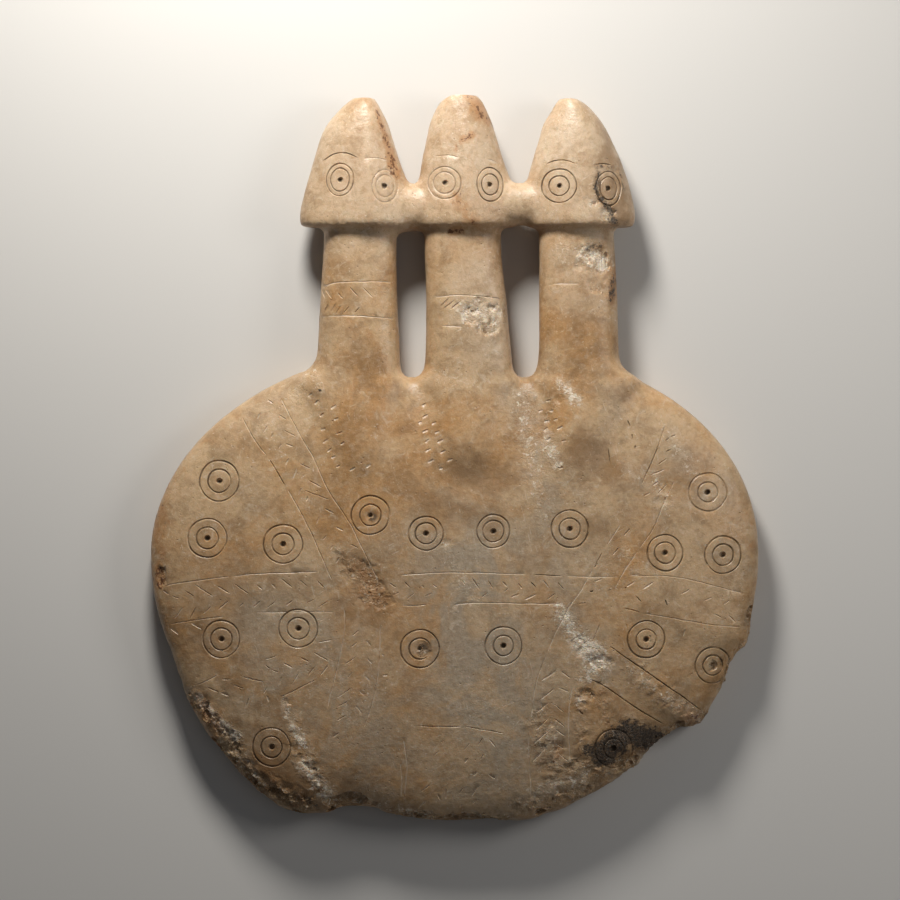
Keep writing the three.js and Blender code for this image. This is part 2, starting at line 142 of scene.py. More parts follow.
# Sizes of the patterns in the stone, and of the painted glints
cloud_size = 30 * mm
veil_size = 17 * mm
patch_size = 9 * mm
wisp_size = 4.5 * mm
halo_size = 3.5 * mm
fleck_size = 1.8 * mm
grain_size = 1.6 * mm
crystal_size = 1.3 * mm
painted_glint_size = 0.9 * mm
speck_size = 0.8 * mm
grit_size = 0.7 * mm
scratch_size = 0.5 * mm
scratch_runs = ((0.25, 1.0, 14.0), (-1.1, 1.0, 12.0))
pit_spacing = 2.2 * mm
relief_grit_size = 0.45 * mm
relief_wave_size = 2.6 * mm
relief_strength = 0.7
relief_height = 0.3 * mm

# Gloss of the stone and how far light sinks into it
share_sunk = 0.3
sunk_colours = (1.0, 0.6, 0.35)
sunk_depth = 2.2 * mm
stone_ior = 1.5
least_dull = 0.28
dull_spread = 0.25

# Colours of the stone and of what lies on it
honey = (0.50, 0.285, 0.12, 1)
cream = (0.59, 0.415, 0.245, 1)
umber = (0.19, 0.11, 0.048, 1)
# Painted shade: tan laid where shade falls on the stone, mixed with a few brown stains
shade_and_stain_tan = (0.25, 0.14, 0.06, 1)
milk = (0.40, 0.325, 0.24, 1)
pale = (0.64, 0.52, 0.39, 1)
chalk = (0.80, 0.71, 0.58, 1)
ochre = (0.42, 0.20, 0.07, 1)
rust = (0.11, 0.036, 0.014, 1)
soot = (0.03, 0.026, 0.023, 1)
# Dark fill for the floors of cuts: partly old dirt, partly painted shade in the recesses
soil_and_shade = (0.075, 0.048, 0.026, 1)

# Camera and floor; face_height is the level of the stone that the picture's width is measured at
camera_height = 1.5
seen_width = 297 * mm
face_height = 12 * mm
picture_middle = (-1.5 * mm, 2.8 * mm)
floor_half_width = 3.0
floor_colour = (0.68, 0.67, 0.65, 1)

# Lights: name, place, where it points, size, energy and colour
lamps = [
    ("key", (-0.07, 0.36, 0.22), (0, 0.02, 0.01), 0.11, 1.95, (1.0, 0.96, 0.9)),
    ("side", (0.42, 0.12, 0.36), (0.05, -0.04, 0.01), 0.22, 0.62, (1.0, 0.97, 0.93)),
    ("fill", (0.3, -0.1, 1.3), (0, 0, 0), 1.0, 0.46, (0.95, 0.97, 1.0)),
]
room_colour = (0.95, 0.96, 1.0, 1)
room_strength = 0.055

# The broken lower edge, from the right-hand side round to the left
broken_edge = [
    (98.9, -49), (98.2, -53.3), (97.2, -59.9), (96.6, -61.6), (94.9, -63.2), (92.6, -65.5),
    (90.9, -68.1), (89.9, -73.1), (87.6, -77.1), (85, -81.3), (82.7, -85.6), (81, -88), (77.6, -88.9),
    (74.4, -88.5), (71.8, -90.3), (67.8, -92.9), (64.5, -96.2), (62.2, -98.5), (61.2, -101.1),
    (57.9, -102.8), (54.6, -105.4), (48, -109.4), (43.1, -112), (39.8, -113.7), (34.8, -116.3),
    (29.9, -117.3), (26.6, -119), (21.6, -119.7), (12, -119.5), (1.8, -119.8), (-8.1, -119.3),
    (-18, -118), (-22.9, -117), (-24.6, -115.7), (-27.9, -115), (-34.5, -114.7), (-38.4, -115.2),
    (-41.1, -117), (-51, -117.4), (-57.6, -115.3), (-63.5, -111), (-69.1, -106.1), (-72.8, -102.1),
    (-76.7, -96.9), (-81.7, -91.2), (-85, -85.6), (-88.3, -79.7), (-91.6, -69.8), (-94, -62.5),
]

# Each neck: height up the figure, left edge and right edge
neck_edges = [
    [(80, -43.0, -19.4), (66, -43.6, -19.3), (52, -44.4, -19.0), (39, -45.0, -18.3), (33, -45.5, -18.0),
     (29.5, -48.0, -17.7), (27.5, -51.5, -16.8), (25.5, -54.0, -14.6), (18, -50.5, -15.6), (8, -46.0, -17.6),
     (-10, -42.0, -21.0)],
    [(80, -10.0, 15.2), (66, -9.8, 15.6), (52, -9.3, 17.2), (39, -9.4, 18.3), (33, -9.6, 19.0),
     (29.5, -10.1, 19.3), (27.5, -11.4, 20.2), (25.5, -13.9, 22.8), (18, -10.5, 19.5), (6, -9.0, 18.0),
     (-10, -6.0, 14.0)],
    [(80, 27.8, 52.4), (66, 28.1, 53.2), (52, 28.0, 53.8), (39, 28.0, 54.0), (33, 27.6, 54.2),
     (29.5, 27.0, 56.0), (27.5, 25.8, 59.5), (25.5, 23.4, 62.0), (18, 26.0, 58.5), (8, 28.2, 54.0),
     (-10, 31.0, 50.0)],
]

# Each head: height up the figure, left edge, right edge, ridge of the nose and share of the thickness
head_edges = [
    [
        (76.2, -50.9, -12.6, -28.6, 0.98), (78.7, -51.2, -12.8, -28.6, 1),
        (82.7, -50.9, -13.6, -28.4, 0.99), (90.6, -49, -15.2, -28.2, 0.96),
        (98.5, -46.6, -18.2, -27.9, 0.9), (106.4, -44.2, -20.6, -27.8, 0.81),
        (110.4, -42, -21.8, -27.8, 0.74), (114.3, -38.5, -23.9, -27.9, 0.64),
        (116.6, -36.1, -25.2, -28.2, 0.57), (118.2, -34, -26.1, -29.3, 0.48),
        (118.8, -33.2, -26.6, -29.4, 0.42),
    ],
    [
        (76.2, -13.2, 20.4, 4.6, 0.98), (78.7, -13.3, 20.6, 4.6, 1), (82.7, -13, 20.1, 4.7, 0.99),
        (90.6, -12, 19, 5, 0.95), (98.5, -10.8, 16, 5, 0.88), (106.4, -9.1, 13.7, 5, 0.79),
        (110.4, -8.3, 12.6, 5, 0.73), (114.3, -6.5, 10.9, 4.6, 0.66), (117.4, -4.9, 9.5, 3.8, 0.58),
        (119, -3.2, 8.6, 3.2, 0.5), (119.8, -1.2, 7.4, 3.2, 0.44),
    ],
    [
        (76.2, 24, 59.2, 43.6, 0.98), (78.7, 23.4, 59.8, 43.6, 1), (82.7, 22.7, 59.5, 43.8, 0.99),
        (90.6, 23.7, 57.6, 44, 0.96), (98.5, 25.9, 54.9, 43.6, 0.9), (106.4, 28.2, 51.3, 42.6, 0.81),
        (110.4, 29.2, 49.2, 42, 0.74), (114.3, 31.7, 46, 41.2, 0.64), (116.6, 32.9, 43.9, 40.2, 0.57),
        (118, 33.8, 41.9, 38, 0.5), (118.7, 34.6, 40.4, 38, 0.44),
    ],
]

# Bars between the heads, then between the feet of the necks: ends, height up the figure of the middle,
# half heights at end and waist, height of the middle above the back and half thickness
bridges = [
    ((-22.0, -4.0), 82.8, 9.6, 7.7, 12.4, 6.4), ((12.0, 32.0), 83.9, 9.2, 6.9, 12.4, 6.4),
    ((-24.0, -2.0), 18.0, 11.5, 8.7, 10.0, 7.4), ((10.0, 34.0), 18.0, 11.5, 8.7, 10.0, 7.4),
]

# Ring-and-dot marks on the disc: place, radius of the outer and inner ring, and depth of the cut
disc_rings = [
    (-77.4, -7.4, 6.6, 3.8, 0.5), (-81.3, -26.2, 6.4, 3.6, 0.42), (-56.3, -28.1, 6.4, 3.6, 0.45),
    (-27.6, -18.6, 6.3, 3.5, 0.5), (-9.4, -24.6, 5.6, 3.5, 0.48), (12.7, -23.9, 5.4, 3.5, 0.42),
    (37.8, -23.1, 6.1, 3.5, 0.5), (83.3, -11.1, 6.3, 3.3, 0.32), (69.1, -31, 5.9, 3.5, 0.48),
    (88.3, -31.7, 6.1, 3.5, 0.5), (-76.7, -59.4, 6.1, 3.6, 0.42), (-51.3, -55.8, 6.3, 3.6, 0.42),
    (-11.4, -62.4, 6.3, 3.5, 0.48), (16, -61.4, 6.1, 3.3, 0.42), (62.9, -59.4, 6.1, 3.3, 0.48),
    (85, -68.1, 5.9, 3.3, 0.5), (-60.2, -94.9, 6.3, 3.5, 0.45), (52.3, -95.5, 6.3, 3.3, 0.35),
]

# Wider bores beside the middle of a mark: place, radius and depth
bores = [(-10.2, -62.8, 2.1, 0.8), (-26.9, -19.0, 1.5, 0.6), (85.6, -68.3, 1.3, 1.0)]

# Eyes: place, half width and half height of the outer ring, then of the inner one, and depth of the cut
eyes = [
    (-37.6, 91.4, 4.5, 5.3, 3.1, 3.8, 0.4), (-22.8, 89.4, 4.3, 5.3, 3, 3.6, 0.22),
    (-3.3, 90.4, 5.4, 5.3, 3.6, 3.6, 0.28), (11.7, 89.9, 4.3, 5.6, 2.8, 3.5, 0.48),
    (34.3, 89.4, 5.6, 5.6, 3.3, 3.3, 0.5), (50.5, 88.6, 4.1, 5.6, 2.8, 3.8, 0.42),
]

# Single cut lines: depth, whether their floors are darkened, partly by old dirt and partly by painted shade,
# then the places that the line runs through
brows = [
    (0.42, True, [(-43.7, 97.5), (-41, 99.8), (-37.8, 100.7), (-34.3, 100.1), (-31.2, 98.2)]),
    (0.14, False, [(-30.5, 98.2), (-25.9, 98.8), (-21.3, 97.8)]),
    (0.2, False, [(-7.1, 99.2), (-2.5, 99.8), (2.1, 98.5)]),
    (0.12, False, [(10.1, 98.5), (12.7, 98.2), (15, 96.9)]),
    (0.42, True, [(29.5, 96.5), (32, 97.8), (34.5, 98.2), (37.5, 97.7), (40.4, 96.4)]),
    (0.35, True, [(45.4, 96.2), (49.3, 97.4), (52.3, 96.2)]),
]
lines = [
    (0.34, False, [(-70.2, 14.2), (-67.4, 8.6), (-64.6, 4.2), (-61.4, 0.6)]),
    (0.36, True, [(-61.4, 0.6), (-57.8, -5.2), (-55.2, -9.6)]),
    (0.32, False, [(-55.2, -9.6), (-51.4, -16), (-48, -22.4), (-45.6, -27.6), (-42.8, -34), (-40, -40.6)]),
    (0.3, False, [(-57.3, 20), (-52.8, 11.4), (-49.6, 5.6), (-46.2, 0.2), (-44.6, -3.6), (-42.2, -9.4),
                  (-38.6, -15), (-34.4, -20.8), (-32, -26), (-29, -32), (-26.6, -36.8), (-24.6, -41.7)]),
    (0.34, False, [(-95.6, -42), (-92, -41.1), (-84, -40), (-78, -39.2), (-73.2, -38.7)]),
    (0.18, False, [(-73.2, -38.7), (-63.5, -37.7), (-56, -37.6), (-44.2, -37.1)]),
    (0.3, False, [(-94, -54.7), (-87.5, -53.4), (-79.8, -52.4), (-75.1, -51.9)]),
    (0.12, False, [(-66, -50.6), (-52, -50.4), (-38.8, -50.3)]),
    (0.24, False, [(-18, -38.2), (-9, -37.7), (-4.8, -37.3), (6, -37.4), (24, -38)]),
    (0.3, True, [(25.2, -38), (29, -38.2), (36, -38.6)]),
    (0.12, False, [(36, -38.6), (46, -38.9), (54.6, -38.8)]),
    (0.34, False, [(-18, -48.3), (-13, -48.2), (-8.5, -47.9)]),
    (0.22, False, [(-1, -48.2), (2, -47.6), (10, -47.2), (20, -47.5), (35.8, -47.7)]),
    (0.22, False, [(56.6, -38.4), (70, -38.5), (78, -39.8), (85, -41.8), (95.6, -44.5)]),
    (0.38, True, [(54.8, -49), (58.6, -49.6), (61.6, -50.7)]),
    (0.28, False, [(61.6, -50.7), (72, -52.5), (85, -54.8), (94.8, -55.6)]),
    (0.3, True, [(69.4, 11.7), (67.3, 5), (65.1, -0.5), (62.8, -5.5), (61, -9.2)]),
    (0.2, False, [(55, -20.8), (52, -25.4), (49.6, -29.2)]),
    (0.3, True, [(48.7, -30.2), (45.7, -35.8)]),
    (0.16, False, [(45.7, -35.8), (41, -44.4), (38.8, -46.6), (36.8, -50.4), (33.4, -56.6),
                   (30.2, -64.2)]),
    (0.26, False, [(72.4, -6.8), (70, -12), (67.3, -18), (66, -22), (63, -26.5), (60.5, -29.8)]),
    (0.14, False, [(60.5, -29.8), (54.6, -38.4), (52.3, -43.8)]),
    (0.2, True, [(48, -53.3), (45, -61)]),
    (0.2, False, [(30.2, -64.2), (26.8, -72.8), (25.8, -79), (25.2, -86.2)]),
    (0.28, False, [(24.4, -88.8), (24.3, -96.2), (24.8, -103.6), (25.4, -112)]),
    (0.18, False, [(39.1, -73.7), (37.7, -79.7), (37.4, -87), (37.6, -92.9), (38.1, -101.1)]),
    (0.26, False, [(-36.4, -48.4), (-35.7, -54.5), (-36.4, -58.4), (-37.3, -63.6), (-38.6, -69.2),
                   (-40.2, -75.2), (-41.8, -82.4)]),
    (0.3, False, [(-24.4, -53.6), (-24.4, -60), (-24.8, -68), (-25.6, -75), (-27.2, -81), (-29.8, -88.8)]),
    (0.22, False, [(-85.9, -75), (-81.5, -73.3), (-77.3, -70.8)]),
    (0.2, False, [(-62.9, -66.2), (-57.6, -64.6)]),
    (0.2, False, [(-45.4, -60.5), (-39.3, -59.3)]),
    (0.36, False, [(-57.8, -78.8), (-52, -75.8), (-48.5, -73.9), (-44.8, -72.4)]),
    (0.5, True, [(50.3, -61.2), (60.2, -68.1), (75.4, -78.7), (81.5, -83.2)]),
    (0.5, True, [(43.7, -72.4), (48, -73.8), (56.3, -79.7), (61.2, -83), (69.5, -88)]),
    (0.42, False, [(-12.6, -87.8), (-8, -88), (2.8, -88)]),
    (0.28, False, [(2.8, -88), (8, -88.7), (16.8, -90.4)]),
    (0.26, False, [(-17, -91.4), (-16, -97), (-15.4, -100.4), (-16, -105.4), (-16.7, -113.6)]),
    (0.16, False, [(-18, -99.4), (-17.2, -105), (-17.6, -112)]),
    (0.2, False, [(-43.9, 56.7), (-41.1, 57.6), (-31.2, 58.2), (-20.8, 58.1)]),
    (0.15, False, [(-44, 46.7), (-33.8, 47), (-19.9, 46)]),
    (0.2, False, [(-6.8, 53), (1.8, 53.8), (12.4, 53), (15.7, 52.3)]),
    (0.14, False, [(-4.8, 43.7), (3.5, 43.1)]),
    (0.1, False, [(30.4, 57), (35, 57.6), (42, 57.2)]),
    (0.16, False, [(-94.2, -55.8), (-90.5, -58.4)]),
    (0.2, False, [(-87.4, -53.8), (-82.6, -56.6)]),
]

# Short cuts of the graver, band by band: depth, whether their floors are darkened, partly by old dirt and
# partly by painted shade, and their ends
cuts = [
    (0.3, False, [
        (-63.9, 15.4, -65.2, 12.8), (-61.4, 11.2, -63, 8.4), (-59.5, 8.5, -60.5, 6.4),
        (-56.8, 5.2, -57.9, 2.8), (-54.4, 0.4, -55.6, -2.4), (-51.5, -2.6, -53.3, -7.4),
        (-50.2, -9.2, -51.5, -12.3), (-48, -12.2, -48.9, -14.4), (-44.2, -18.8, -45.4, -21.9),
        (-41.7, -24.8, -43.5, -27), (-39.8, -28.2, -40.8, -30.2), (-37.7, -32.2, -39, -34.6),
    ]),
    (0.32, False, [
        (-61.7, 19.6, -59.6, 18.1), (-58.5, 14.8, -54.9, 12.5), (-56.8, 9.6, -51.4, 6.9),
        (-55.9, 4.9, -52.6, 3.8), (-51.4, -1.4, -46.6, -3.7), (-48.4, -7, -43, -9.8),
        (-49.9, -10.2, -40.4, -13.8), (-43.1, -16.2, -39, -18.3), (-39.4, -22.2, -36.2, -23.8),
        (-34.8, -27.8, -31, -29.6),
    ]),
    (0.36, False, [
        (-96.4, -43.4, -93.4, -45.2), (-93.4, -45.2, -90.4, -46.1), (-89.3, -43.2, -84.9, -45.8),
        (-86, -41.1, -79, -45.6), (-78.7, -41.5, -73.3, -44.6), (-73, -40.7, -67, -44.9),
        (-65.3, -41.1, -62.8, -43.3), (-60.2, -40.9, -58.5, -42.8), (-57.5, -39, -52.6, -42.9),
        (-51.3, -39.4, -47.8, -42.4), (-45.5, -39.7, -42.3, -42.9),
    ]),
    (0.32, False, [
        (-89, -48.2, -92.7, -53.4), (-84.8, -48.4, -87.3, -53.2), (-79.5, -48.2, -83.2, -51.6),
        (-74, -46.4, -78.1, -50.1), (-69, -47.2, -70.9, -48.8), (-63.4, -46.4, -66.6, -49.2),
        (-58.3, -46.4, -62.2, -49.5), (-52.9, -46.4, -55.7, -48.5), (-45.8, -46, -49, -47.6),
        (-40.9, -46.3, -45.2, -49.2),
    ]),
    (0.34, False, [
        (-21.6, -40.7, -19, -42.6), (-16.7, -40.1, -14.5, -42.5), (-10.9, -41.4, -9.9, -42.6),
        (-7.6, -40.9, -5.4, -42.6), (2.1, -39.6, 3.7, -41.8), (5.3, -38.7, 8.6, -43.6),
        (10.7, -39.5, 13, -43.2), (15.4, -40.1, 17.5, -42.4), (17.5, -42.4, 16.1, -44),
        (20.7, -40.7, 22.3, -43), (28.9, -39.7, 31.3, -42.8), (33.5, -40.4, 36.1, -43.2),
    ]),
    (0.5, True, [
        (24.7, -40.2, 26.8, -42.4), (47.1, -34, 45.8, -36), (45.6, -43.5, 44.2, -43.7),
    ]),
    (0.32, False, [
        (-18.2, -43.7, -19.5, -44.6), (-12.6, -43.7, -16, -46.2), (-7.1, -44, -10.2, -45.3),
        (11.3, -43.7, 8.4, -45.7), (21.6, -44.1, 18.2, -45.6), (27.4, -44.1, 22.3, -46.7),
        (33.1, -44, 30, -46.5), (38.8, -46.5, 36.7, -50), (48.9, -39.2, 45.4, -40.6),
        (43.6, -47.4, 40.2, -47.6),
    ]),
    (0.26, False, [
        (65.9, -40.2, 61.2, -43.2), (59.6, -40, 56, -42.4), (85.2, -45.4, 81.2, -47.2),
        (77.8, -42.6, 74, -44.8), (84.8, -50.8, 88.2, -52.6), (90, -51.2, 92.8, -54.2),
        (75.9, -55.8, 75.1, -58.8), (91, -46.4, 88, -48.4),
    ]),
    (0.36, True, [
        (59.1, -44.8, 61.7, -47.5), (69, -46, 70.1, -48.7), (55.6, -42.3, 56.6, -42.6),
    ]),
    (0.3, True, [
        (73, 7.9, 71, 7.1), (71, 7.1, 68.9, 5.5), (71.4, 3.2, 69.2, 2.1), (56.7, 13, 58, 10.2),
        (58.3, 8.4, 58.6, 6.2), (59.4, 4.6, 59.2, 3), (50.4, 4, 51.2, -2.6),
    ]),
    (0.28, False, [
        (70.5, 0.4, 66.2, -2.2), (69.6, -3.4, 63.8, -5.7), (67.2, -7.3, 64.8, -9.2),
        (64.6, -11, 61.6, -12.6), (70.4, -7.6, 66, -12.4), (57.8, -22.6, 55.2, -25.8),
        (54.4, -28.6, 51.4, -32.2),
    ]),
    (0.26, False, [
        (33.9, -69.4, 27.8, -73.4), (34.4, -69.4, 38.4, -72.4), (33.2, -75, 27.6, -79.6),
        (33.8, -75, 38, -76.8), (31.2, -80, 26, -84), (31.8, -80, 36.4, -83.8),
        (31.3, -84.8, 26.2, -89.6), (32, -84.8, 36.8, -88.6), (31.9, -88.4, 25.6, -94.2),
        (32.5, -88.4, 36.8, -91.6), (31.6, -92.8, 36.6, -95.8), (30.4, -94.6, 25.2, -100.2),
        (33.5, -96.3, 37.9, -100.2),
    ]),
    (0.3, False, [
        (-31, -55.9, -33.7, -58.4), (-31.7, -60, -34.2, -62.2), (-32.2, -64.9, -36.4, -67.8),
        (-33.3, -69.8, -35.4, -72.2), (-33.4, -74.9, -38.8, -78.7), (-34.7, -79.5, -39, -81.7),
        (-35.3, -84.1, -39, -86.4), (-37.5, -89.7, -40.4, -91.8),
    ]),
    (0.18, False, [
        (-28.9, -59.6, -27.4, -61.6), (-28.8, -65.4, -26.8, -67.6), (-29.8, -71, -27.4, -73.4),
        (-32.8, -80.7, -30, -84.2), (-31.6, -76, -29.2, -78.2), (-23.9, -64, -23, -64.8),
        (-24, -71.2, -21.6, -71),
    ]),
    (0.34, False, [
        (-81.8, -75.3, -77.4, -77), (-77.4, -77, -73.8, -78.3), (-73.7, -74.2, -68.8, -75.8),
        (-76.9, -72.7, -73.3, -72.6), (-70.2, -71.7, -62.3, -73.4), (-62.4, -67.7, -60.4, -69.2),
        (-60.4, -69.2, -57.4, -70.4), (-56.6, -66.9, -53, -68.8), (-50.9, -65.1, -47.4, -67),
        (-46.9, -63.2, -40.7, -66.9),
    ]),
    (0.3, False, [
        (-67.1, -77.7, -69, -82.5), (-61.2, -74.5, -63, -77.5), (-61.8, -77.6, -60.9, -80.2),
        (-56.5, -70.9, -57.9, -75.2), (-50.7, -69.5, -53.6, -74.4), (-45.6, -67.7, -48.5, -71.8),
        (-40.9, -67, -44.4, -71.7),
    ]),
    (0.3, False, [
        (5.3, -92.9, 2.5, -96.4), (9.4, -91.3, 7.5, -94.6), (11.1, -91.7, 13.8, -95.2),
        (-4.9, -95.8, -7, -97.8), (4.8, -98.1, 3, -100.2), (7.9, -102.7, 6, -104.5),
        (-7.7, -106.9, -11, -109.7), (-9.1, -112.3, -11.8, -115.4), (-5.7, -110, -4.7, -112.8),
        (-2.9, -107.8, -2.9, -112.6), (3.3, -107.7, 0.9, -110.7), (8.1, -107.4, 5.4, -111.4),
        (7.3, -112.1, 5.7, -114), (2.6, -113.7, 1.7, -115), (9.6, -96.8, 8.4, -99.2),
        (11, -103.8, 13.6, -105.4),
    ]),
    (0.3, False, [
        (-44, 56.2, -42.6, 52.3), (-42.7, 55.6, -40.1, 52.2), (-38.5, 54.5, -36.4, 52.2),
        (-34.9, 56.7, -31.4, 52.9), (-30.6, 56.6, -26.4, 52.3),
    ]),
    (0.24, True, [
        (-38.8, 51.4, -40.9, 47.9), (-37, 50.8, -39.2, 47.3), (-34.4, 50.4, -36.9, 47.3),
        (-41.4, 51.4, -43, 48.2), (-31, 50, -33, 47.6), (-1.4, 53.1, -5.2, 49.6), (0.3, 52.4, -4, 48.9),
        (2.9, 52.4, -1.9, 48.6),
    ]),
]

# Small dashes pecked on the disc below the necks
dashes = [
    (-47.4, 21), (-45.4, 18.6), (-43.6, 14.4), (-43.1, 9.6), (-42.4, 5.8), (-41.1, 2.8), (-39.8, 0.5),
    (-38.1, -2.5), (-39.8, 17), (-38.8, 13), (-37.8, 8.4), (-36.8, 5), (-33.5, -3.5), (-28.2, -2.5),
    (-10.1, 17.7), (-9.7, 14), (-11.4, 11.9), (-9.7, 9.1), (-9.1, 5.8), (-8.7, 2.8), (-7.8, -0.8),
    (-6.8, 11.7), (-5.8, 8.7), (-4.8, 5.8), (-3.8, 2.3), (-1.5, -0.5), (-4.5, -3.3), (30.9, 19),
    (28.2, 15.7), (31.8, 15.7), (30.2, 12.4), (33.2, 12.9), (29.9, 9.7), (34.5, 10.1), (30.9, 6.4),
    (35.8, 5.8), (34.8, -3.1),
]
dash_run = (2.1, 1.0)
dash_depth = 0.34

# Lumps broken out of the stone: place, height of the middle and three radii
chips = [
    (94.5, -65, 20, 4, 6, 7), (86, -80.5, 21, 4, 5.5, 6), (71, -91.5, 21.5, 10, 4.8, 6),
    (57, -102, 20.5, 8, 6, 7.5), (45.5, -111, 19.5, 8, 5, 7.5), (32.5, -117.5, 19.5, 8, 4, 6.5),
    (4, -121.5, 12, 13, 4.5, 8.5), (-15, -120.5, 15, 6, 4, 6.5), (-35, -114.5, 18, 9, 6, 7.5),
    (-25.5, -113, 20, 5, 4.4, 5), (-47, -117, 20, 10, 5.5, 6), (-62.5, -110, 20, 7, 5.5, 6),
    (-74, -98, 20, 5, 7, 6.5), (-82.5, -86, 19, 4, 5, 6),
]

# Shallow hollows rubbed into the front: place, two radii and depth
hollows = [
    (8.5, -5, 12, 8.5, 0.9), (46, 1, 9, 10, 0.9), (52, -25, 8, 6, 0.5), (-17, 10, 5, 14, 0.4),
    (24, 8, 5.5, 15, 0.6), (-28, -42, 9, 8, 0.5), (2, -21, 16, 5, 0.35), (66, -10, 6, 12, 0.4),
]

# Crumbled skin: two ends, radius and depth
crumbled = [
    (-86, -79, -79.5, -84.5, 3, 0.8), (-79.5, -87, -72, -93, 3.2, 0.9), (-76, -95, -66, -105, 3.6, 0.9),
    (-66, -106.5, -50, -114, 4.5, 1), (-52.5, -88, -50, -97, 2.6, 0.5), (-50, -97, -44, -109, 4.6, 0.6),
    (59, -69, 76, -84, 5, 0.45), (62, -96, 82, -86, 3.2, 0.9), (28, -86, 34, -108, 5, 0.5),
    (38, -102, 58, -102, 4.5, 0.8), (36, -52, 41.5, -60, 2.2, 0.3), (41.5, -60, 49, -68, 3.6, 0.5),
    (22, -114, 46, -109.5, 3.4, 0.7), (-20, -117, 18, -118.6, 1.8, 0.6), (88, -76, 95, -62, 1.6, 0.8),
    (-36, -32, -24, -47, 5.5, 0.4), (-56, -80, -50, -90, 2.4, 0.4), (97, -52, 97.8, -60, 1.2, 0.7),
    (45, -74, 52, -88, 4, 0.45), (40, -78, 44, -98, 3.2, 0.4), (30, 14, 38, 25, 2.4, 0.3),
    (-96.8, -32, -96.5, -42, 2, 0.3),
]

# Small chips away from the edge: place, radius across, radius up and depth
scars = [
    (9.6, 48.5, 6, 5, 0.7), (5, 47.4, 2.8, 3, 1), (12.6, 47, 3, 4.4, 1.1), (10.4, 42.6, 4.2, 2.2, 1.1),
    (45.6, 66.8, 4.6, 3.4, 1.2), (48.2, 64, 3, 3.8, 1.1), (44.6, 61.8, 2.2, 2, 0.6),
    (46.5, 57.5, 3.4, 4.6, 0.6), (41.5, 63.5, 2.6, 2, 0.5), (44.8, 83.9, 1.9, 1.5, 0.5),
    (50.2, 80.4, 3, 2.6, 0.7), (47.6, 84.8, 1.6, 1.8, 0.5), (53, 90.8, 1.6, 5, 0.4),
    (68.6, -9.6, 2.2, 3.2, 0.6), (67.8, -13.6, 1.8, 1.8, 0.6), (42.9, -77.4, 2.8, 2.4, 0.7),
    (-30.4, -38.6, 6.5, 6, 0.5), (-25.8, -46.2, 6, 3.2, 0.5), (-28.6, -42.4, 5, 5, 0.45),
    (34.2, -96, 2.4, 2.6, 0.6), (-96.4, -38.8, 1.6, 4.2, 0.6), (13.6, 111.4, 2.6, 3.4, 1),
    (41.2, -60.4, 3, 5.2, 0.4), (48.4, -67, 4.4, 2.4, 0.4), (-3, -27.6, 2.2, 1.6, 0.3),
]

# Stains, and in the second list painted shade mixed with some brown stain: two ends, radius and strength
rust_places = [
    (-25.6, 114.2, -24, 109.4, 1, 1), (-24, 109.4, -21.3, 101.1, 1.2, 1),
    (-21.3, 101.1, -19.6, 93, 1.8, 1.1), (-24.6, 108, -20.4, 96, 4.2, 0.4),
    (5.1, 119.3, 10, 112, 3, 0.85), (3, 105.2, 5.6, 106.1, 1.5, 1.2), (0.4, 101.7, 3, 104.9, 1, 1),
    (1, 85, 5.8, 76.4, 3, 0.7), (-1.2, 74.6, 2.2, 74.8, 1.4, 1.2), (-96.5, -4, -98.6, -43, 4.5, 0.6),
    (-97.6, -36, -96.8, -42, 2.4, 0.9), (-88, 12, -95, -6, 5, 0.4), (34.2, -94.5, 34.2, -97, 2.6, 0.6),
    (-32, -36, -25, -46, 6, 0.5), (75, -82, 80, -87, 3, 0.7), (-84, -80, -78, -90, 4, 0.6),
    (-66, -100, -52, -111, 5, 0.5), (52.6, 62, 51.8, 52, 1.6, 0.8), (26, -70, 33, -84, 4, 0.3),
    (-13, 76, -15.5, 78, 1.4, 0.5), (45, -76, 60, -84, 4, 0.35), (-91, 5, -99, -30, 6, 0.35),
    (-97, -45, -90, -66, 5, 0.35), (98, -18, 99.5, -46, 4, 0.3), (-80, 8, -60, 20, 5, 0.25),
]
# Painted shade: darker places where shade falls, at the lips below the gaps between the necks, the hollows,
# the right facet of the third head, the lower edge and the lower left, with a few real brown stains among
# them
painted_shade_and_stain_places = [
    (-33, -33, -26, -45, 6, 1), (-6, -14, 12, -20, 7, 0.5), (3, -2, 12, -8, 9, 0.8),
    (42, 4, 50, -4, 8, 0.8), (46, -21, 52, -28, 6, 0.6), (24, 25, 24, 14, 4.5, 0.7),
    (-17, 25, -15, 10, 4, 0.55), (-75, -42, -30, -48, 8, 0.35), (40, 44, 47, 36, 8, 0.45),
    (-34, 40, -28, 26, 8, 0.35), (40, 28, 50, 30, 5, 0.5), (-60, -103, -40, -112, 9, 0.9),
    (51, 106, 54, 80, 5.5, 0.75), (-84, -60, -60, -90, 16, 0.4), (30, -100, 70, -95, 10, 0.5),
]
crust_places = [
    (46.6, 93.6, 46.6, 86.6, 1.4, 0.8), (46.8, 86.4, 50.6, 82.2, 1.4, 0.85),
    (50.6, 82.2, 52.4, 77.6, 2.4, 0.75), (46, 96, 52, 95.6, 1.2, 0.65), (54, 95, 55.5, 88, 1.2, 0.5),
    (42.6, 68, 48.4, 70.4, 1.3, 0.7), (52.2, 59, 51.6, 52.5, 1.7, 0.72), (49, -97, 57, -90, 5, 1.3),
    (57, -90, 67, -94, 5, 1.2), (-60, -108, -46, -113.5, 4, 0.5), (-67, -99, -60, -106, 3.5, 0.4),
    (-74, -92, -70, -98, 3, 0.35), (-44.3, 22.4, -44, 22.8, 0.7, 0.9),
    (63.6, -60.6, 64.6, -59.6, 3.2, 0.4), (86, -84, 82, -86, 2, 0.6), (43, -96, 48, -99, 3, 0.75),
    (-98, -46, -92, -70, 2, 0.35),
]
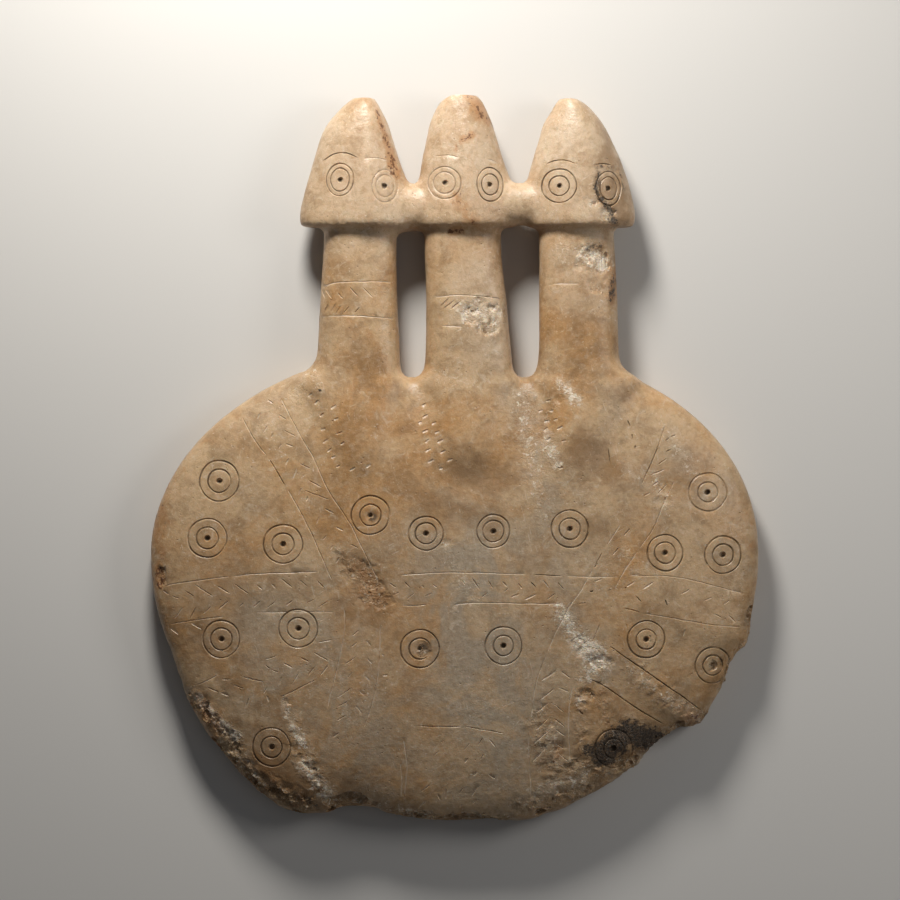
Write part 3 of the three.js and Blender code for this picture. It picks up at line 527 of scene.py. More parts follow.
chalk_places = [
    (3.6, 48.6, 12.6, 47.4, 5, 0.75), (8, 44.6, 12.4, 41.6, 2.2, 0.7), (43, 67, 48.4, 64, 3.6, 1),
    (40, 69.5, 34, 68.5, 3, 0.4), (44.7, 83.7, 45, 84, 1.3, 1.1), (49, 81, 51, 79.2, 2.2, 0.8),
    (0, 119, 6.5, 118.8, 2.4, 0.7), (22.5, 21, 25.5, -4, 4.2, 0.52), (27, -6, 29, -20, 4.4, 0.4),
    (34.8, 24.3, 39.8, 19.3, 2.4, 0.9), (30.2, 6.1, 33.5, -2.1, 2.6, 0.75),
    (54.6, -2.1, 62.9, -8.7, 3, 0.45), (69.5, 9.4, 77.7, -3.8, 3.4, 0.42), (66, -7, 70.5, -15, 2.6, 0.5),
    (-4.8, -26.9, 6.8, -46.7, 3, 0.42), (34.8, -50, 41.4, -59.9, 3.4, 0.9),
    (41.4, -59.9, 47.7, -66.5, 4.4, 1.05), (47.7, -66.5, 43.1, -71.4, 3.2, 0.8),
    (40.6, -79.8, 42, -79.2, 1.5, 0.9), (-85, -78.7, -79.7, -84, 2, 1), (-78, -86.6, -72, -91.6, 2.4, 1),
    (75, -81, 80.5, -87, 2.6, 0.75), (-52, 20, -49, 27, 2.6, 0.4), (-46, 29, -44.6, 22, 1.6, 0.45),
    (60, -100, 66, -96, 2.4, 0.7), (26, -110, 42, -106, 3.4, 0.65), (-24, -114, -8, -118, 2, 0.6),
    (-56, -80, -53.5, -88.5, 1.8, 0.6), (-53.5, -88.5, -49, -95, 2.4, 0.75),
    (-49, -101, -42, -111, 3.6, 0.75), (-68.5, -97, -65.5, -106, 2.2, 0.6), (54, -30, 60, -36, 4, 0.4),
    (-62, 10, -66, 6, 3, 0.3), (59, -70, 76, -84, 3, 0.45), (32, -86, 33, -100, 2.6, 0.45),
    (-40, -70, -30, -84, 8, 0.22), (10, -72, 6, -84, 7, 0.2),
]
milk_places = [
    (-66, -54, -44, -84, 26, 0.75), (4, -36, 12, -92, 26, 1), (-40, -60, -25, -100, 22, 0.7),
    (30, -10, 36, -40, 14, 0.6), (62, -12, 74, -8, 12, 0.5), (22, 20, 27, -10, 6, 0.8),
    (38, -54, 48, -68, 7, 0.9),
]
pale_places = [
    (-30, 100, 42, 100, 30, 0.9), (8, 60, 12, 40, 10, 0.8), (40, 66, 42, 56, 10, 0.6),
]


def grid_form(mesh, around, along, place):
    """Bend a flat grid into one closed form; place gives each point from its two counts."""
    made = bmesh.ops.create_grid(mesh, x_segments=around, y_segments=along, size=1.0)["verts"]
    for vert in made:
        turn = round((vert.co.x + 1) / 2 * around) % around
        way = round((vert.co.y + 1) / 2 * along)
        vert.co = place(turn, way)
    bmesh.ops.remove_doubles(mesh, verts=made, dist=0.001 * mm)


def between(rows, height):
    """The values of a list of rows at one height, where the height comes first in each row."""
    table = np.array(sorted(rows))
    return [float(np.interp(height, table[:, 0], table[:, column])) for column in range(1, table.shape[1])]


def rounded(angle, width, depth, power):
    """A point of a rounded section."""
    across, up = math.cos(angle), math.sin(angle)
    share = 2 / power
    return (math.copysign(abs(across) ** share, across) * width, math.copysign(abs(up) ** share, up) * depth)


def disc_reaches():
    """How far the disc reaches from its middle in each direction."""
    angles, reaches = [], []
    for degrees in np.arange(sound_right_angle, sound_left_angle, 0.5):
        a = math.radians(degrees)
        power = 2 / right_fullness if 0 < degrees < 90 else 1
        x = disc_half_width * math.copysign(abs(math.cos(a)) ** power, math.cos(a))
        rise = disc_crest if 0 < degrees < 180 else disc_drop
        y = rise * math.copysign(abs(math.sin(a)) ** power, math.sin(a))
        outside = x < outer_shoulders[0] or x > outer_shoulders[1]
        y = min(y, (outer_shoulder_y if outside else shoulder_y) - disc_middle_y)
        angles.append(math.degrees(math.atan2(y, x)) % 360)
        reaches.append(math.hypot(x, y))
    for x, y in broken_edge:
        angles.append(math.degrees(math.atan2(y - disc_middle_y, x)) % 360)
        reaches.append(math.hypot(x, y - disc_middle_y))
    order = np.argsort(angles)
    turns = np.arange(outline_steps) * 360 / outline_steps
    return np.interp(turns, np.array(angles)[order], np.array(reaches)[order], period=360)


def dome_height(share):
    """Height of the front where the way in from the edge is this share of the way to the middle."""
    rise = (1 - (1 - share) ** dome_power) ** (1 / dome_power)
    return disc_edge_height + (disc_thickness - disc_edge_height) * rise


def disc_form(mesh):
    """The domed disc: rings from the middle of the back over the edge to the middle of the front."""
    reaches = disc_reaches()
    rings = [(1.0, 0.0, 0.0), (0.5, 0.0, 0.0), (0.0, back_rounding, 0.0), (0.0, back_rounding * 0.3, 1.4),
             (0.0, 0.0, back_edge_height)]
    rings += [(share, 0.0, dome_height(share)) for share in dome_shares]

    def place(turn, way):
        share, inset, height = rings[way]
        angle = math.tau * turn / outline_steps
        reach = (reaches[turn] - inset) * (1 - share)
        return Vector((reach * math.cos(angle), reach * math.sin(angle) + disc_middle_y, height)) * mm

    grid_form(mesh, outline_steps, len(rings) - 1, place)


def neck_form(mesh, edges):
    """A neck, from inside its head down to where it fades out on the front of the disc."""
    heights = [height for run in neck_levels for height in np.linspace(*run)]
    fade = disc_thickness + neck_relief - neck_front

    def place(turn, way):
        height = heights[min(max(way - 1, 0), len(heights) - 1)]
        left, right = between(edges, height)
        down = min(max((shoulder_y - height) / (shoulder_y + 10), 0), 1)
        front = neck_front + fade * math.sin(down * math.pi / 2) - neck_sink * down ** 6
        middle = (front + neck_back) / 2
        across, up = 0.0, 0.0
        if 0 < way <= len(heights):
            half_width, half_depth = (right - left) / 2, (front - neck_back) / 2
            across, up = rounded(math.tau * turn / form_sides, half_width, half_depth, neck_power)
        return Vector(((left + right) / 2 + across, height, middle + up)) * mm

    grid_form(mesh, form_sides, len(heights) + 1, place)


def head_form(mesh, edges):
    """A head: a tapering wedge with a ridge for a nose, a flat chin and a blunt top."""
    chin = edges[0][0]
    heights = [chin, chin, chin + 0.5, chin + 1.2] + list(np.linspace(chin + 2.5, edges[-1][0], 22))
    insets = [1.4, 0.7, 0.2]

    def place(turn, way):
        height = heights[min(max(way - 1, 0), len(heights) - 1)]
        left, right, ridge, thick = between(edges, height)
        inset = insets[way - 1] if 0 < way <= len(insets) else 0.0
        across, up = 0.0, 0.0
        if 0 < way <= len(heights):
            angle = math.tau * turn / form_sides
            to_right, to_front = math.cos(angle) >= 0, math.sin(angle) >= 0
            reach = right - ridge if to_right else ridge - left
            power = cheek_powers[to_right] if to_front else head_back_power
            across, up = rounded(angle, reach - inset, head_half_thickness * thick - inset, power)
        return Vector((ridge + across, height, head_middle_height + up)) * mm

    grid_form(mesh, form_sides, len(heights) + 1, place)


def bridge_form(mesh, ends, middle_y, half_end, half_waist, middle_height, half_thickness):
    """A waisted bar of stone left standing between two heads, or between the feet of two necks."""
    def place(turn, way):
        share = min(max((way - 1) / (bridge_steps - 2), 0), 1)
        waist = math.sin(math.pi * share)
        across, up = 0.0, 0.0
        if 0 < way < bridge_steps:
            half = half_end + (half_waist - half_end) * waist
            deep = half_thickness * (1.1 - 0.1 * waist)
            across, up = rounded(math.tau * turn / form_sides, half, deep, bridge_power)
        return Vector((ends[0] + (ends[1] - ends[0]) * share, middle_y + across, middle_height + up)) * mm

    grid_form(mesh, form_sides, bridge_steps, place)


def apply_modifiers(piece):
    """Turn the piece's modifiers into its mesh."""
    done = bpy.data.meshes.new_from_object(piece.evaluated_get(bpy.context.evaluated_depsgraph_get()))
    old = piece.data
    piece.modifiers.clear()
    piece.data = done
    bpy.data.meshes.remove(old)


def rough_out():
    """The whole figure in one skin, before any carving."""
    mesh = bmesh.new()
    disc_form(mesh)
    for edges in neck_edges:
        neck_form(mesh, edges)
    for edges in head_edges:
        head_form(mesh, edges)
    for bridge in bridges:
        bridge_form(mesh, *bridge)
    bmesh.ops.recalc_face_normals(mesh, faces=mesh.faces)
    data = bpy.data.meshes.new("alabaster_idol")
    mesh.to_mesh(data)
    mesh.free()
    piece = bpy.data.objects.new("alabaster_idol", data)
    bpy.context.scene.collection.objects.link(piece)
    remesh = piece.modifiers.new("skin", "REMESH")
    remesh.mode = "VOXEL"
    remesh.voxel_size = remesh_size
    smooth = piece.modifiers.new("rub", "SMOOTH")
    smooth.factor = 0.5
    smooth.iterations = rub_rounds
    apply_modifiers(piece)
    soften_roots(piece)
    return piece


def soften_roots(piece):
    """Let the necks sink softly into the face of the disc."""
    points = read_vectors(piece.data, "co") / mm
    from_middle = np.abs(points[:, 0] - neck_middle)
    top = np.where(from_middle > outer_foot, outer_root_top, neck_root_top)
    inside = (points[:, 1] > root_bottom) & (points[:, 1] < top) & (from_middle < root_reach)
    group = piece.vertex_groups.new(name="roots")
    group.add(np.flatnonzero(inside & (points[:, 2] > root_floor)).tolist(), 1.0, "REPLACE")
    smooth = piece.modifiers.new("roots", "SMOOTH")
    smooth.factor = 0.5
    smooth.iterations = root_rounds
    smooth.vertex_group = group.name
    apply_modifiers(piece)
    piece.vertex_groups.clear()


def smooth_share(low, high, values):
    """Eases from 0 at low to 1 at high."""
    share = np.clip((values - low) / (high - low), 0, 1)
    return share * share * (3 - 2 * share)


def read_vectors(data, name):
    """The places or normals of a mesh, one row for each point."""
    flat = np.empty(len(data.vertices) * 3)
    data.vertices.foreach_get(name, flat)
    return flat.reshape(-1, 3)


def put_points(data, points):
    data.vertices.foreach_set("co", points.ravel())
    data.update()


def noise_at(points, size, seed, octaves=1):
    """Soft noise between about -1 and 1, with features of this size."""
    offset = Vector((seed * 17.3, seed * -9.1, seed * 5.7))
    return np.array([noise.fractal(Vector(p) / size + offset, 1.0, 2.0, octaves) for p in points])


def facet(place, size, seed):
    """Height of a surface broken into tilted flakes of about this size, between about -1 and 1."""
    spot = place / size + Vector((seed * 3.1, seed * -7.7, seed * 1.3))
    near = noise.voronoi(spot)[1][0]
    tilt = noise.cell_vector(near * 3.7) * 2 - Vector((1, 1, 1))
    return (spot - near).dot(tilt) + 0.5 * noise.cell(near * 5.1)


def rub_surface(piece):
    """The gentle unevenness of a hand-rubbed face, and a plainer, flatter back."""
    data = piece.data
    points, normals = read_vectors(data, "co"), read_vectors(data, "normal")
    back = smooth_share(0.5, 0.95, -normals[:, 2])
    amount = swell * noise_at(points, swell_size, 1) + dimple * noise_at(points, dimple_size, 2, 2)
    amount -= back_dip * back * np.abs(noise_at(points, back_dip_size, 3))
    for x, y, across, up, deep in hollows:
        reach = np.hypot((points[:, 0] / mm - x) / across, (points[:, 1] / mm - y) / up)
        amount -= deep * mm * (1 - smooth_share(0.0, 1.4, reach)) * smooth_share(0.2, 0.6, normals[:, 2])
    points += normals * amount[:, None]
    points[:, 2] = np.maximum(points[:, 2], 0)
    put_points(data, points)


def refine(piece, is_wanted):
    """Divide the faces that need finer form."""
    mesh = bmesh.new()
    mesh.from_mesh(piece.data)
    faces = [face for face in mesh.faces if is_wanted(face)]
    edges = list(dict.fromkeys(edge for face in faces for edge in face.edges))
    bmesh.ops.subdivide_edges(mesh, edges=edges, cuts=1, use_grid_fill=True)
    bmesh.ops.triangulate(mesh, faces=[face for face in mesh.faces if len(face.verts) > 4])
    mesh.to_mesh(piece.data)
    mesh.free()


def wear_scars(piece):
    """Shallow chips and crumbled places on the front, with broken, flaky floors."""
    def is_scarred(face):
        x, y, _ = face.calc_center_median() / mm
        return face.normal.z > 0 and any(abs(x - s[0]) < s[2] and abs(y - s[1]) < s[3] for s in scars)

    refine(piece, is_scarred)
    data = piece.data
    points, normals = read_vectors(data, "co"), read_vectors(data, "normal")
    depth = np.zeros(len(points))
    front = normals[:, 2] > 0.1
    for index, (x, y, across, up, deep) in enumerate(scars):
        spread = np.hypot((points[:, 0] / mm - x) / across, (points[:, 1] / mm - y) / up)
        for i in np.flatnonzero(front & (spread < 1.5)):
            place = Vector(points[i])
            ragged = spread[i] + 0.4 * noise.fractal(place / scar_border + Vector((index, 0, 0)), 1.0, 2.0, 2)
            floor = 0.75 + 0.5 * facet(place, scar_flake, index) + 0.12 * noise.noise(place / scar_grit)
            depth[i] = max(depth[i], deep * mm * min(max((1.05 - ragged) * 2.4, 0), 1) * floor)
    put_points(data, points - np.array([0, 0, 1]) * depth[:, None])


def near_share(points, places):
    """How strongly each point is touched by a list of places: two ends, radius and strength."""
    share = np.zeros(len(points))
    flat = points[:, :2] / mm
    for x1, y1, x2, y2, radius, strength in places:
        start, way = np.array([x1, y1]), np.array([x2 - x1, y2 - y1])
        along = np.clip(((flat - start) @ way) / max(way @ way, 1e-9), 0, 1)
        distance = np.linalg.norm(flat - start - along[:, None] * way, axis=1) / radius
        share = np.maximum(share, strength * (1 - smooth_share(0.0, 1.7, distance)))
    return share


def crumble(piece):
    """Break up the skin of the stone in the crumbled places, in small tilted flakes."""
    data = piece.data
    share = near_share(read_vectors(data, "co"), crumbled)
    coarse = coarse_face * remesh_size ** 2
    faces = [share[list(face.vertices)].max() > 0.2 and face.area > coarse for face in data.polygons]
    refine(piece, lambda face: faces[face.index] and face.normal.z > -0.3)
    points, normals = read_vectors(data, "co"), read_vectors(data, "normal")
    share = near_share(points, crumbled) * smooth_share(-0.5, 0.1, normals[:, 2])
    for i in np.flatnonzero(share > 0.02):
        place = Vector(points[i])
        ragged = min(max(1 + 0.9 * noise.fractal(place / crumb_patch, 1.0, 2.0, 3), 0), 1.6)
        flakes = 0.45 + 0.55 * facet(place, coarse_flake, 21) + 0.3 * facet(place, fine_flake, 22)
        points[i] -= normals[i] * share[i] * mm * ragged * flakes
    put_points(data, points)


def settle(piece):
    """Keep the back flat where the breaking and thinning pushed it down."""
    points = read_vectors(piece.data, "co")
    points[:, 2] = np.maximum(points[:, 2], 0)
    put_points(piece.data, points)


class Passes:
    """Cutters sorted into passes, so that the ones that are cut together never touch."""

    def __init__(self):
        self.passes = []

    def mesh_for(self, x, y, reach_x, reach_y):
        box = (x - reach_x, x + reach_x, y - reach_y, y + reach_y)
        for boxes, mesh in self.passes:
            if all(box[1] < b[0] or box[0] > b[1] or box[3] < b[2] or box[2] > b[3] for b in boxes):
                boxes.append(box)
                return mesh
        self.passes.append(([box], bmesh.new()))
        return self.passes[-1][1]

    def cut(self, piece):
        for _, mesh in self.passes:
            bmesh.ops.recalc_face_normals(mesh, faces=mesh.faces)
            data = bpy.data.meshes.new("cutter")
            mesh.to_mesh(data)
            mesh.free()
            cutter = bpy.data.objects.new("cutter", data)
            bpy.context.scene.collection.objects.link(cutter)
            cut = piece.modifiers.new("cut", "BOOLEAN")
            cut.operation = "DIFFERENCE"
            cut.solver = "MANIFOLD"
            cut.object = cutter
            apply_modifiers(piece)
            bpy.data.objects.remove(cutter)
            bpy.data.meshes.remove(data)


def break_edge(piece):
    """Break lumps out of the lower edge, large ones from the given list and small ones all along it."""
    picker = random.Random(11)
    passes = Passes()
    lumps = list(chips)
    spots = np.array(broken_edge)
    for i in range(len(spots) - 1):
        steps = max(1, int(math.dist(spots[i], spots[i + 1]) / lump_spacing))
        for step in range(steps):
            x, y = spots[i] + (spots[i + 1] - spots[i]) * (step + picker.random()) / steps
            inward = Vector((-x, disc_middle_y - y)).normalized() * picker.uniform(-lump_reach, lump_reach)
            size = picker.uniform(*lump_sizes)
            height = picker.uniform(*lump_heights)
            radii = (size * picker.uniform(*lump_lengths), size, size * picker.uniform(*lump_depths))
            lumps.append((x + inward.x, y + inward.y, height, *radii))
    for index, (x, y, z, radius_x, radius_y, radius_z) in enumerate(lumps):
        mesh = passes.mesh_for(x, y, radius_x * 1.4, radius_y * 1.4)
        for vert in bmesh.ops.create_icosphere(mesh, subdivisions=3, radius=1.0)["verts"]:
            grit = noise.noise(vert.co * 1.7 + Vector((index, 0, 0)))
            uneven = 1 + 0.16 * facet(vert.co, 0.7, index) + 0.12 * grit
            vert.co = Vector((x + vert.co.x * radius_x * uneven, y + vert.co.y * radius_y * uneven,
                              z + vert.co.z * radius_z * uneven)) * mm
    passes.cut(piece)


def distances_to(points, sound):
    """How far each point lies from the surface as it was before it was broken."""
    return np.array([sound.find_nearest(Vector(p))[3] or 0.0 for p in points])


def roughen_breaks(piece, sound):
    """Crumble the surfaces that the breaks laid bare."""
    refine(piece, lambda face: (sound.find_nearest(face.calc_center_median())[3] or 0.0) > 0.3 * mm)
    data = piece.data
    points, normals = read_vectors(data, "co"), read_vectors(data, "normal")
    share = smooth_share(0.1 * mm, 0.8 * mm, distances_to(points, sound))
    rough = np.zeros(len(points))
    for i in np.flatnonzero(share > 0.01):
        place = Vector(points[i])
        grit = noise.fractal(place / break_grit, 0.8, 2.0, 3)
        flakes = 0.35 * facet(place, fine_flake, 8) - 0.75 * abs(facet(place, coarse_flake, 3))
        rough[i] = (flakes + 0.2 * grit) * mm
    put_points(data, points + normals * (rough * share)[:, None])


def tree_of(piece):
    """The piece's surface as it is now, ready to be measured to."""
    mesh = bmesh.new()
    mesh.from_mesh(piece.data)
    tree = BVHTree.FromBMesh(mesh)
    mesh.free()
    return tree


class Carver:
    """Cuts laid on the surface as it is before carving; keeps the floors of the cuts for their finish."""

    def __init__(self, piece):
        self.tree = tree_of(piece)
        self.passes = Passes()
        self.dirt_and_shade = []
        self.bruises = []

    def height(self, x, y):
        hit = self.tree.ray_cast(Vector((x, y, above_all)) * mm, Vector((0, 0, -1)))[0]
        return hit.z / mm if hit is not None else disc_edge_height

    def ring(self, x, y, radius_x, radius_y, width, depth):
        """One ring of a mark: a V-shaped cut run round and laid on the surface."""
        mesh = self.passes.mesh_for(x, y, 0, 0)
        spread = width / 2 * (depth + cutter_rise) / depth
        profile = [(-spread, cutter_rise), (spread, cutter_rise), (0.0, -depth)]
        steps = round(radius_x * ring_steps_per_mm)
        wobble = (x * 7.7 + y * 3.1) % 6

        def place(turn, way):
            angle = math.tau * way / steps
            uneven = 1 + 0.012 * math.sin(2 * angle + wobble) + 0.008 * math.sin(5 * angle + 2 * wobble)
            out, up = profile[turn]
            at_x = x + (radius_x * uneven + out) * math.cos(angle)
            at_y = y + (radius_y * uneven + out) * math.sin(angle)
            if turn == 2:
                up *= 1 - 0.35 * (0.5 + 0.5 * math.sin(angle + wobble * 1.7))
            spot = Vector((at_x, at_y, self.height(at_x, at_y) + up)) * mm
            if turn == 2:
                self.dirt_and_shade.append((spot, min(1.0, 2 * depth)))
            return spot

        grid_form(mesh, 3, steps, place)

    def dot(self, x, y, radius, depth):
        """The drilled dot in the middle of a mark, with a wider mouth."""
        mesh = self.passes.mesh_for(x, y, 0, 0)
        mouth = radius * (depth * 0.6 + cutter_rise) / (depth * 0.6)
        made = bmesh.ops.create_cone(mesh, cap_ends=True, segments=14, radius1=radius * 0.5, radius2=mouth,
                                     depth=depth + cutter_rise)["verts"]
        for vert in made:
            is_floor = vert.co.z < 0
            vert.co = (vert.co + Vector((x, y, self.height(x, y) + (cutter_rise - depth) / 2))) * mm
            if is_floor:
                self.dirt_and_shade.append((vert.co.copy(), 1.0))

    def groove(self, path, width, depth, dirt_and_shade_dark):
        """A V-shaped cut along a path, rising out of the stone at both ends."""
        spots = np.array(path)
        middle, reach = (spots.max(0) + spots.min(0)) / 2, (spots.max(0) - spots.min(0)) / 2 + 1.0
        mesh = self.passes.mesh_for(*middle, *reach)
        last = len(path) - 1
        sections = []
        for i, (x, y) in enumerate(path):
            level = self.height(x, y)
            if i in (0, last):
                sections.append([Vector((x, y, level + 0.1)) * mm] * 3)
                continue
            ahead = Vector(path[i + 1]) - Vector(path[i - 1])
            side = Vector((-ahead.y, ahead.x)).normalized()
            full = min(1.0, 0.45 + 1.6 * min(i, last - i) / last)
            deep = depth * full * (1 + 0.25 * noise.noise(Vector((x, y, 0)) / 5))
            spread = side * width * 0.5 * (0.55 + 0.45 * full) * (deep + cutter_rise) / deep
            sections.append([Vector((x + spread.x, y + spread.y, level + cutter_rise)) * mm,
                             Vector((x, y, level - deep)) * mm,
                             Vector((x - spread.x, y - spread.y, level + cutter_rise)) * mm])
            if dirt_and_shade_dark:
                self.dirt_and_shade.append((sections[-1][1], min(1.0, 2.2 * depth)))
            else:
                self.bruises.append((sections[-1][1], 1.0))
        grid_form(mesh, 3, last, lambda turn, way: sections[way][turn])

    def cut(self, piece):
        self.passes.cut(piece)
        self.passes = Passes()


def spaced(places, step, shake, seed):
    """Even places along a hand-drawn line through the given ones."""
    spots = np.array(places, dtype=float)
    lengths = np.concatenate([[0], np.cumsum(np.hypot(*np.diff(spots, axis=0).T))])
    ways = np.linspace(0, lengths[-1], max(4, int(lengths[-1] / step)) + 1)
    line = np.stack([np.interp(ways, lengths, spots[:, k]) for k in (0, 1)], axis=1)
    for _ in range(3):
        line[1:-1] = (line[:-2] + 2 * line[1:-1] + line[2:]) / 4
    shaken = []
    for (x, y), way in zip(line, ways):
        sideways = shake * noise.noise(Vector((way / 4, seed, 0)))
        shaken.append((x + sideways, y + shake * noise.noise(Vector((way / 4, seed, 7)))))
    return shaken


def carve(piece):
    """All the cut ornament: rings and dots, then lines, then short cuts and dashes."""
    carver = Carver(piece)
    for x, y, outer, inner, depth in disc_rings:
        carver.ring(x, y, outer, outer, ring_width, depth)
        carver.ring(x, y, inner, inner, ring_width, depth)
        carver.dot(x, y, dot_radius, dot_depth)
    for x, y, outer_x, outer_y, inner_x, inner_y, depth in eyes:
        carver.ring(x, y, outer_x, outer_y, ring_width * eye_cut_share, depth)
        carver.ring(x, y, inner_x, inner_y, ring_width * eye_cut_share, depth)
        carver.dot(x, y, dot_radius * eye_cut_share, eye_dot_depth + depth)
    carver.cut(piece)
    for index, (depth, dirt_and_shade_dark, places) in enumerate(brows + lines):
        carver.groove(spaced(places, line_step, line_shake, index), 0.42 + 0.5 * depth, depth, dirt_and_shade_dark)
    carver.cut(piece)
    for bore in bores:
        carver.dot(*bore)
    picker = random.Random(5)
    for depth, dirt_and_shade_dark, ends in cuts:
        for x1, y1, x2, y2 in ends:
            path = spaced([(x1, y1), (x2, y2)], stroke_step, stroke_shake, x1)
            width = picker.uniform(*stroke_widths)
            carver.groove(path, width, depth * picker.uniform(*depth_spread), dirt_and_shade_dark)
    for x, y in dashes:
        run_x, run_y = dash_run[0] * picker.uniform(0.8, 1.25), dash_run[1] * picker.uniform(0.5, 1.8)
        path = spaced([(x - run_x / 2, y - run_y / 2), (x + run_x / 2, y + run_y / 2)],
                      dash_step, dash_shake, x)
        width = picker.uniform(*dash_widths)
        carver.groove(path, width, dash_depth * picker.uniform(*depth_spread), False)
    carver.cut(piece)
    return carver.dirt_and_shade, carver.bruises


def thin_out(piece, wanted, ratio):
    """Fewer, larger faces where the stone is plain."""
    group = piece.vertex_groups.new(name="plain")
    group.add(np.flatnonzero(wanted).tolist(), 1.0, "REPLACE")
    thin = piece.modifiers.new("thin", "DECIMATE")
    thin.ratio = ratio
    thin.vertex_group = group.name
    apply_modifiers(piece)
    piece.vertex_groups.clear()


def thin_plain_faces(piece, sound):
    """The flat back first, then the smooth skin all round."""
    points, normals = read_vectors(piece.data, "co"), read_vectors(piece.data, "normal")
    thin_out(piece, (normals[:, 2] < -0.9) & (points[:, 2] < back_level), back_share_kept)
    thin_out(piece, distances_to(read_vectors(piece.data, "co"), sound) < 0.1 * mm, skin_share_kept)


def floor_share(points, floors):
    """How marked a point is as the floor of a cut; 0 away from the floors."""
    tree = KDTree(len(floors))
    for index, (place, _) in enumerate(floors):
        tree.insert(place, index)
    tree.balance()
    found = [tree.find(Vector(p)) for p in points]
    shares = [floors[index][1] if distance < cut_floor_reach else 0.0 for _, index, distance in found]
    return np.array(shares)


def keep_finish(piece, name, values):
    """Store one value on every point for the stone's material to read."""
    layer = piece.data.attributes.new(name, "FLOAT", "POINT")
    layer.data.foreach_set("value", values.astype(np.float32))


def mark_finish(piece, sound, dirt_and_shade, bruises):
    """Keep on every point how stained, darkened with painted shade, crusted, chalky, broken or deep in a cut
    it is.
    """
    points, normals = read_vectors(piece.data, "co"), read_vectors(piece.data, "normal")
    facing = smooth_share(-0.2, 0.25, normals[:, 2])
    for name, places in [("rust", rust_places), ("shade", painted_shade_and_stain_places), ("crust", crust_places),
                         ("chalk", chalk_places), ("milk", milk_places), ("pale", pale_places)]:
        keep_finish(piece, name, near_share(points, places) * facing)
    bare = smooth_share(0.25 * mm, 0.9 * mm, distances_to(points, sound))
    keep_finish(piece, "broken", np.maximum(bare, 0.9 * near_share(points, crumbled) * facing))
    # Floors of the cuts that get the dark fill: partly old dirt, partly painted shade
    keep_finish(piece, "dirt_and_shade", floor_share(points, dirt_and_shade))
    keep_finish(piece, "bruise", floor_share(points, bruises))


class Nodes:
    """Small helper for wiring the stone."""

    def __init__(self, material):
        self.tree = material.node_tree
        self.tree.nodes.clear()
        self.place = self.add("ShaderNodeTexCoord").outputs["Object"]

    def add(self, kind, **values):
        node = self.tree.nodes.new(kind)
        for name, value in values.items():
            setattr(node, name, value)
        return node

    def feed(self, socket, value):
        if isinstance(value, bpy.types.NodeSocket):
            self.tree.links.new(value, socket)
        else:
            socket.default_value = value

    def math(self, operation, first, second=0.0, third=0.0):
        node = self.add("ShaderNodeMath", operation=operation)
        for socket, value in zip(node.inputs, (first, second, third)):
            self.feed(socket, value)
        return node.outputs[0]

    def ease(self, value, low, high):
        node = self.add("ShaderNodeMapRange", interpolation_type="SMOOTHSTEP")
        self.feed(node.inputs["Value"], value)
        node.inputs["From Min"].default_value = low
        node.inputs["From Max"].default_value = high
        return node.outputs["Result"]

    def stretched(self, turn, across, along):
        """The place turned and stretched, for marks that run one way."""
        node = self.add("ShaderNodeMapping", vector_type="TEXTURE")
        self.feed(node.inputs["Vector"], self.place)
        node.inputs["Rotation"].default_value = (0, 0, turn)
        node.inputs["Scale"].default_value = (across, along, across)
        return node.outputs["Vector"]

    def noise(self, size, detail=3.0, roughness=0.55, twist=0.0, place=None):
        node = self.add("ShaderNodeTexNoise")
        self.feed(node.inputs["Vector"], place or self.place)
        node.inputs["Scale"].default_value = 1 / size
        node.inputs["Detail"].default_value = detail
        node.inputs["Roughness"].default_value = roughness
        node.inputs["Distortion"].default_value = twist
        return node.outputs["Fac"]

    def cells(self, size):
        node = self.add("ShaderNodeTexVoronoi")
        self.feed(node.inputs["Vector"], self.place)
        node.inputs["Scale"].default_value = 1 / size
        return node.outputs["Distance"]

    def mark(self, name):
        return self.add("ShaderNodeAttribute", attribute_name=name).outputs["Fac"]

    def ragged(self, name, grain, spread, low, high):
        """A mark whose border is broken up by a grain."""
        broken_up = self.math("MULTIPLY_ADD", self.math("SUBTRACT", grain, 0.5), spread, self.mark(name))
        return self.math("MULTIPLY", self.ease(broken_up, low, high), self.ease(self.mark(name), 0.0, 0.2))

    def mix(self, share, first, second):
        node = self.add("ShaderNodeMix", data_type="RGBA")
        self.feed(node.inputs["Factor"], share)
        self.feed(node.inputs[6], first)
        self.feed(node.inputs[7], second)
        return node.outputs[2]

    def both(self, first, second):
        return self.math("MULTIPLY", first, second)

    def coat(self, colour, where, strength, tint):
        """The colour with a thin coat of the tint where it is wanted."""
        return self.mix(self.both(where, strength), colour, tint)


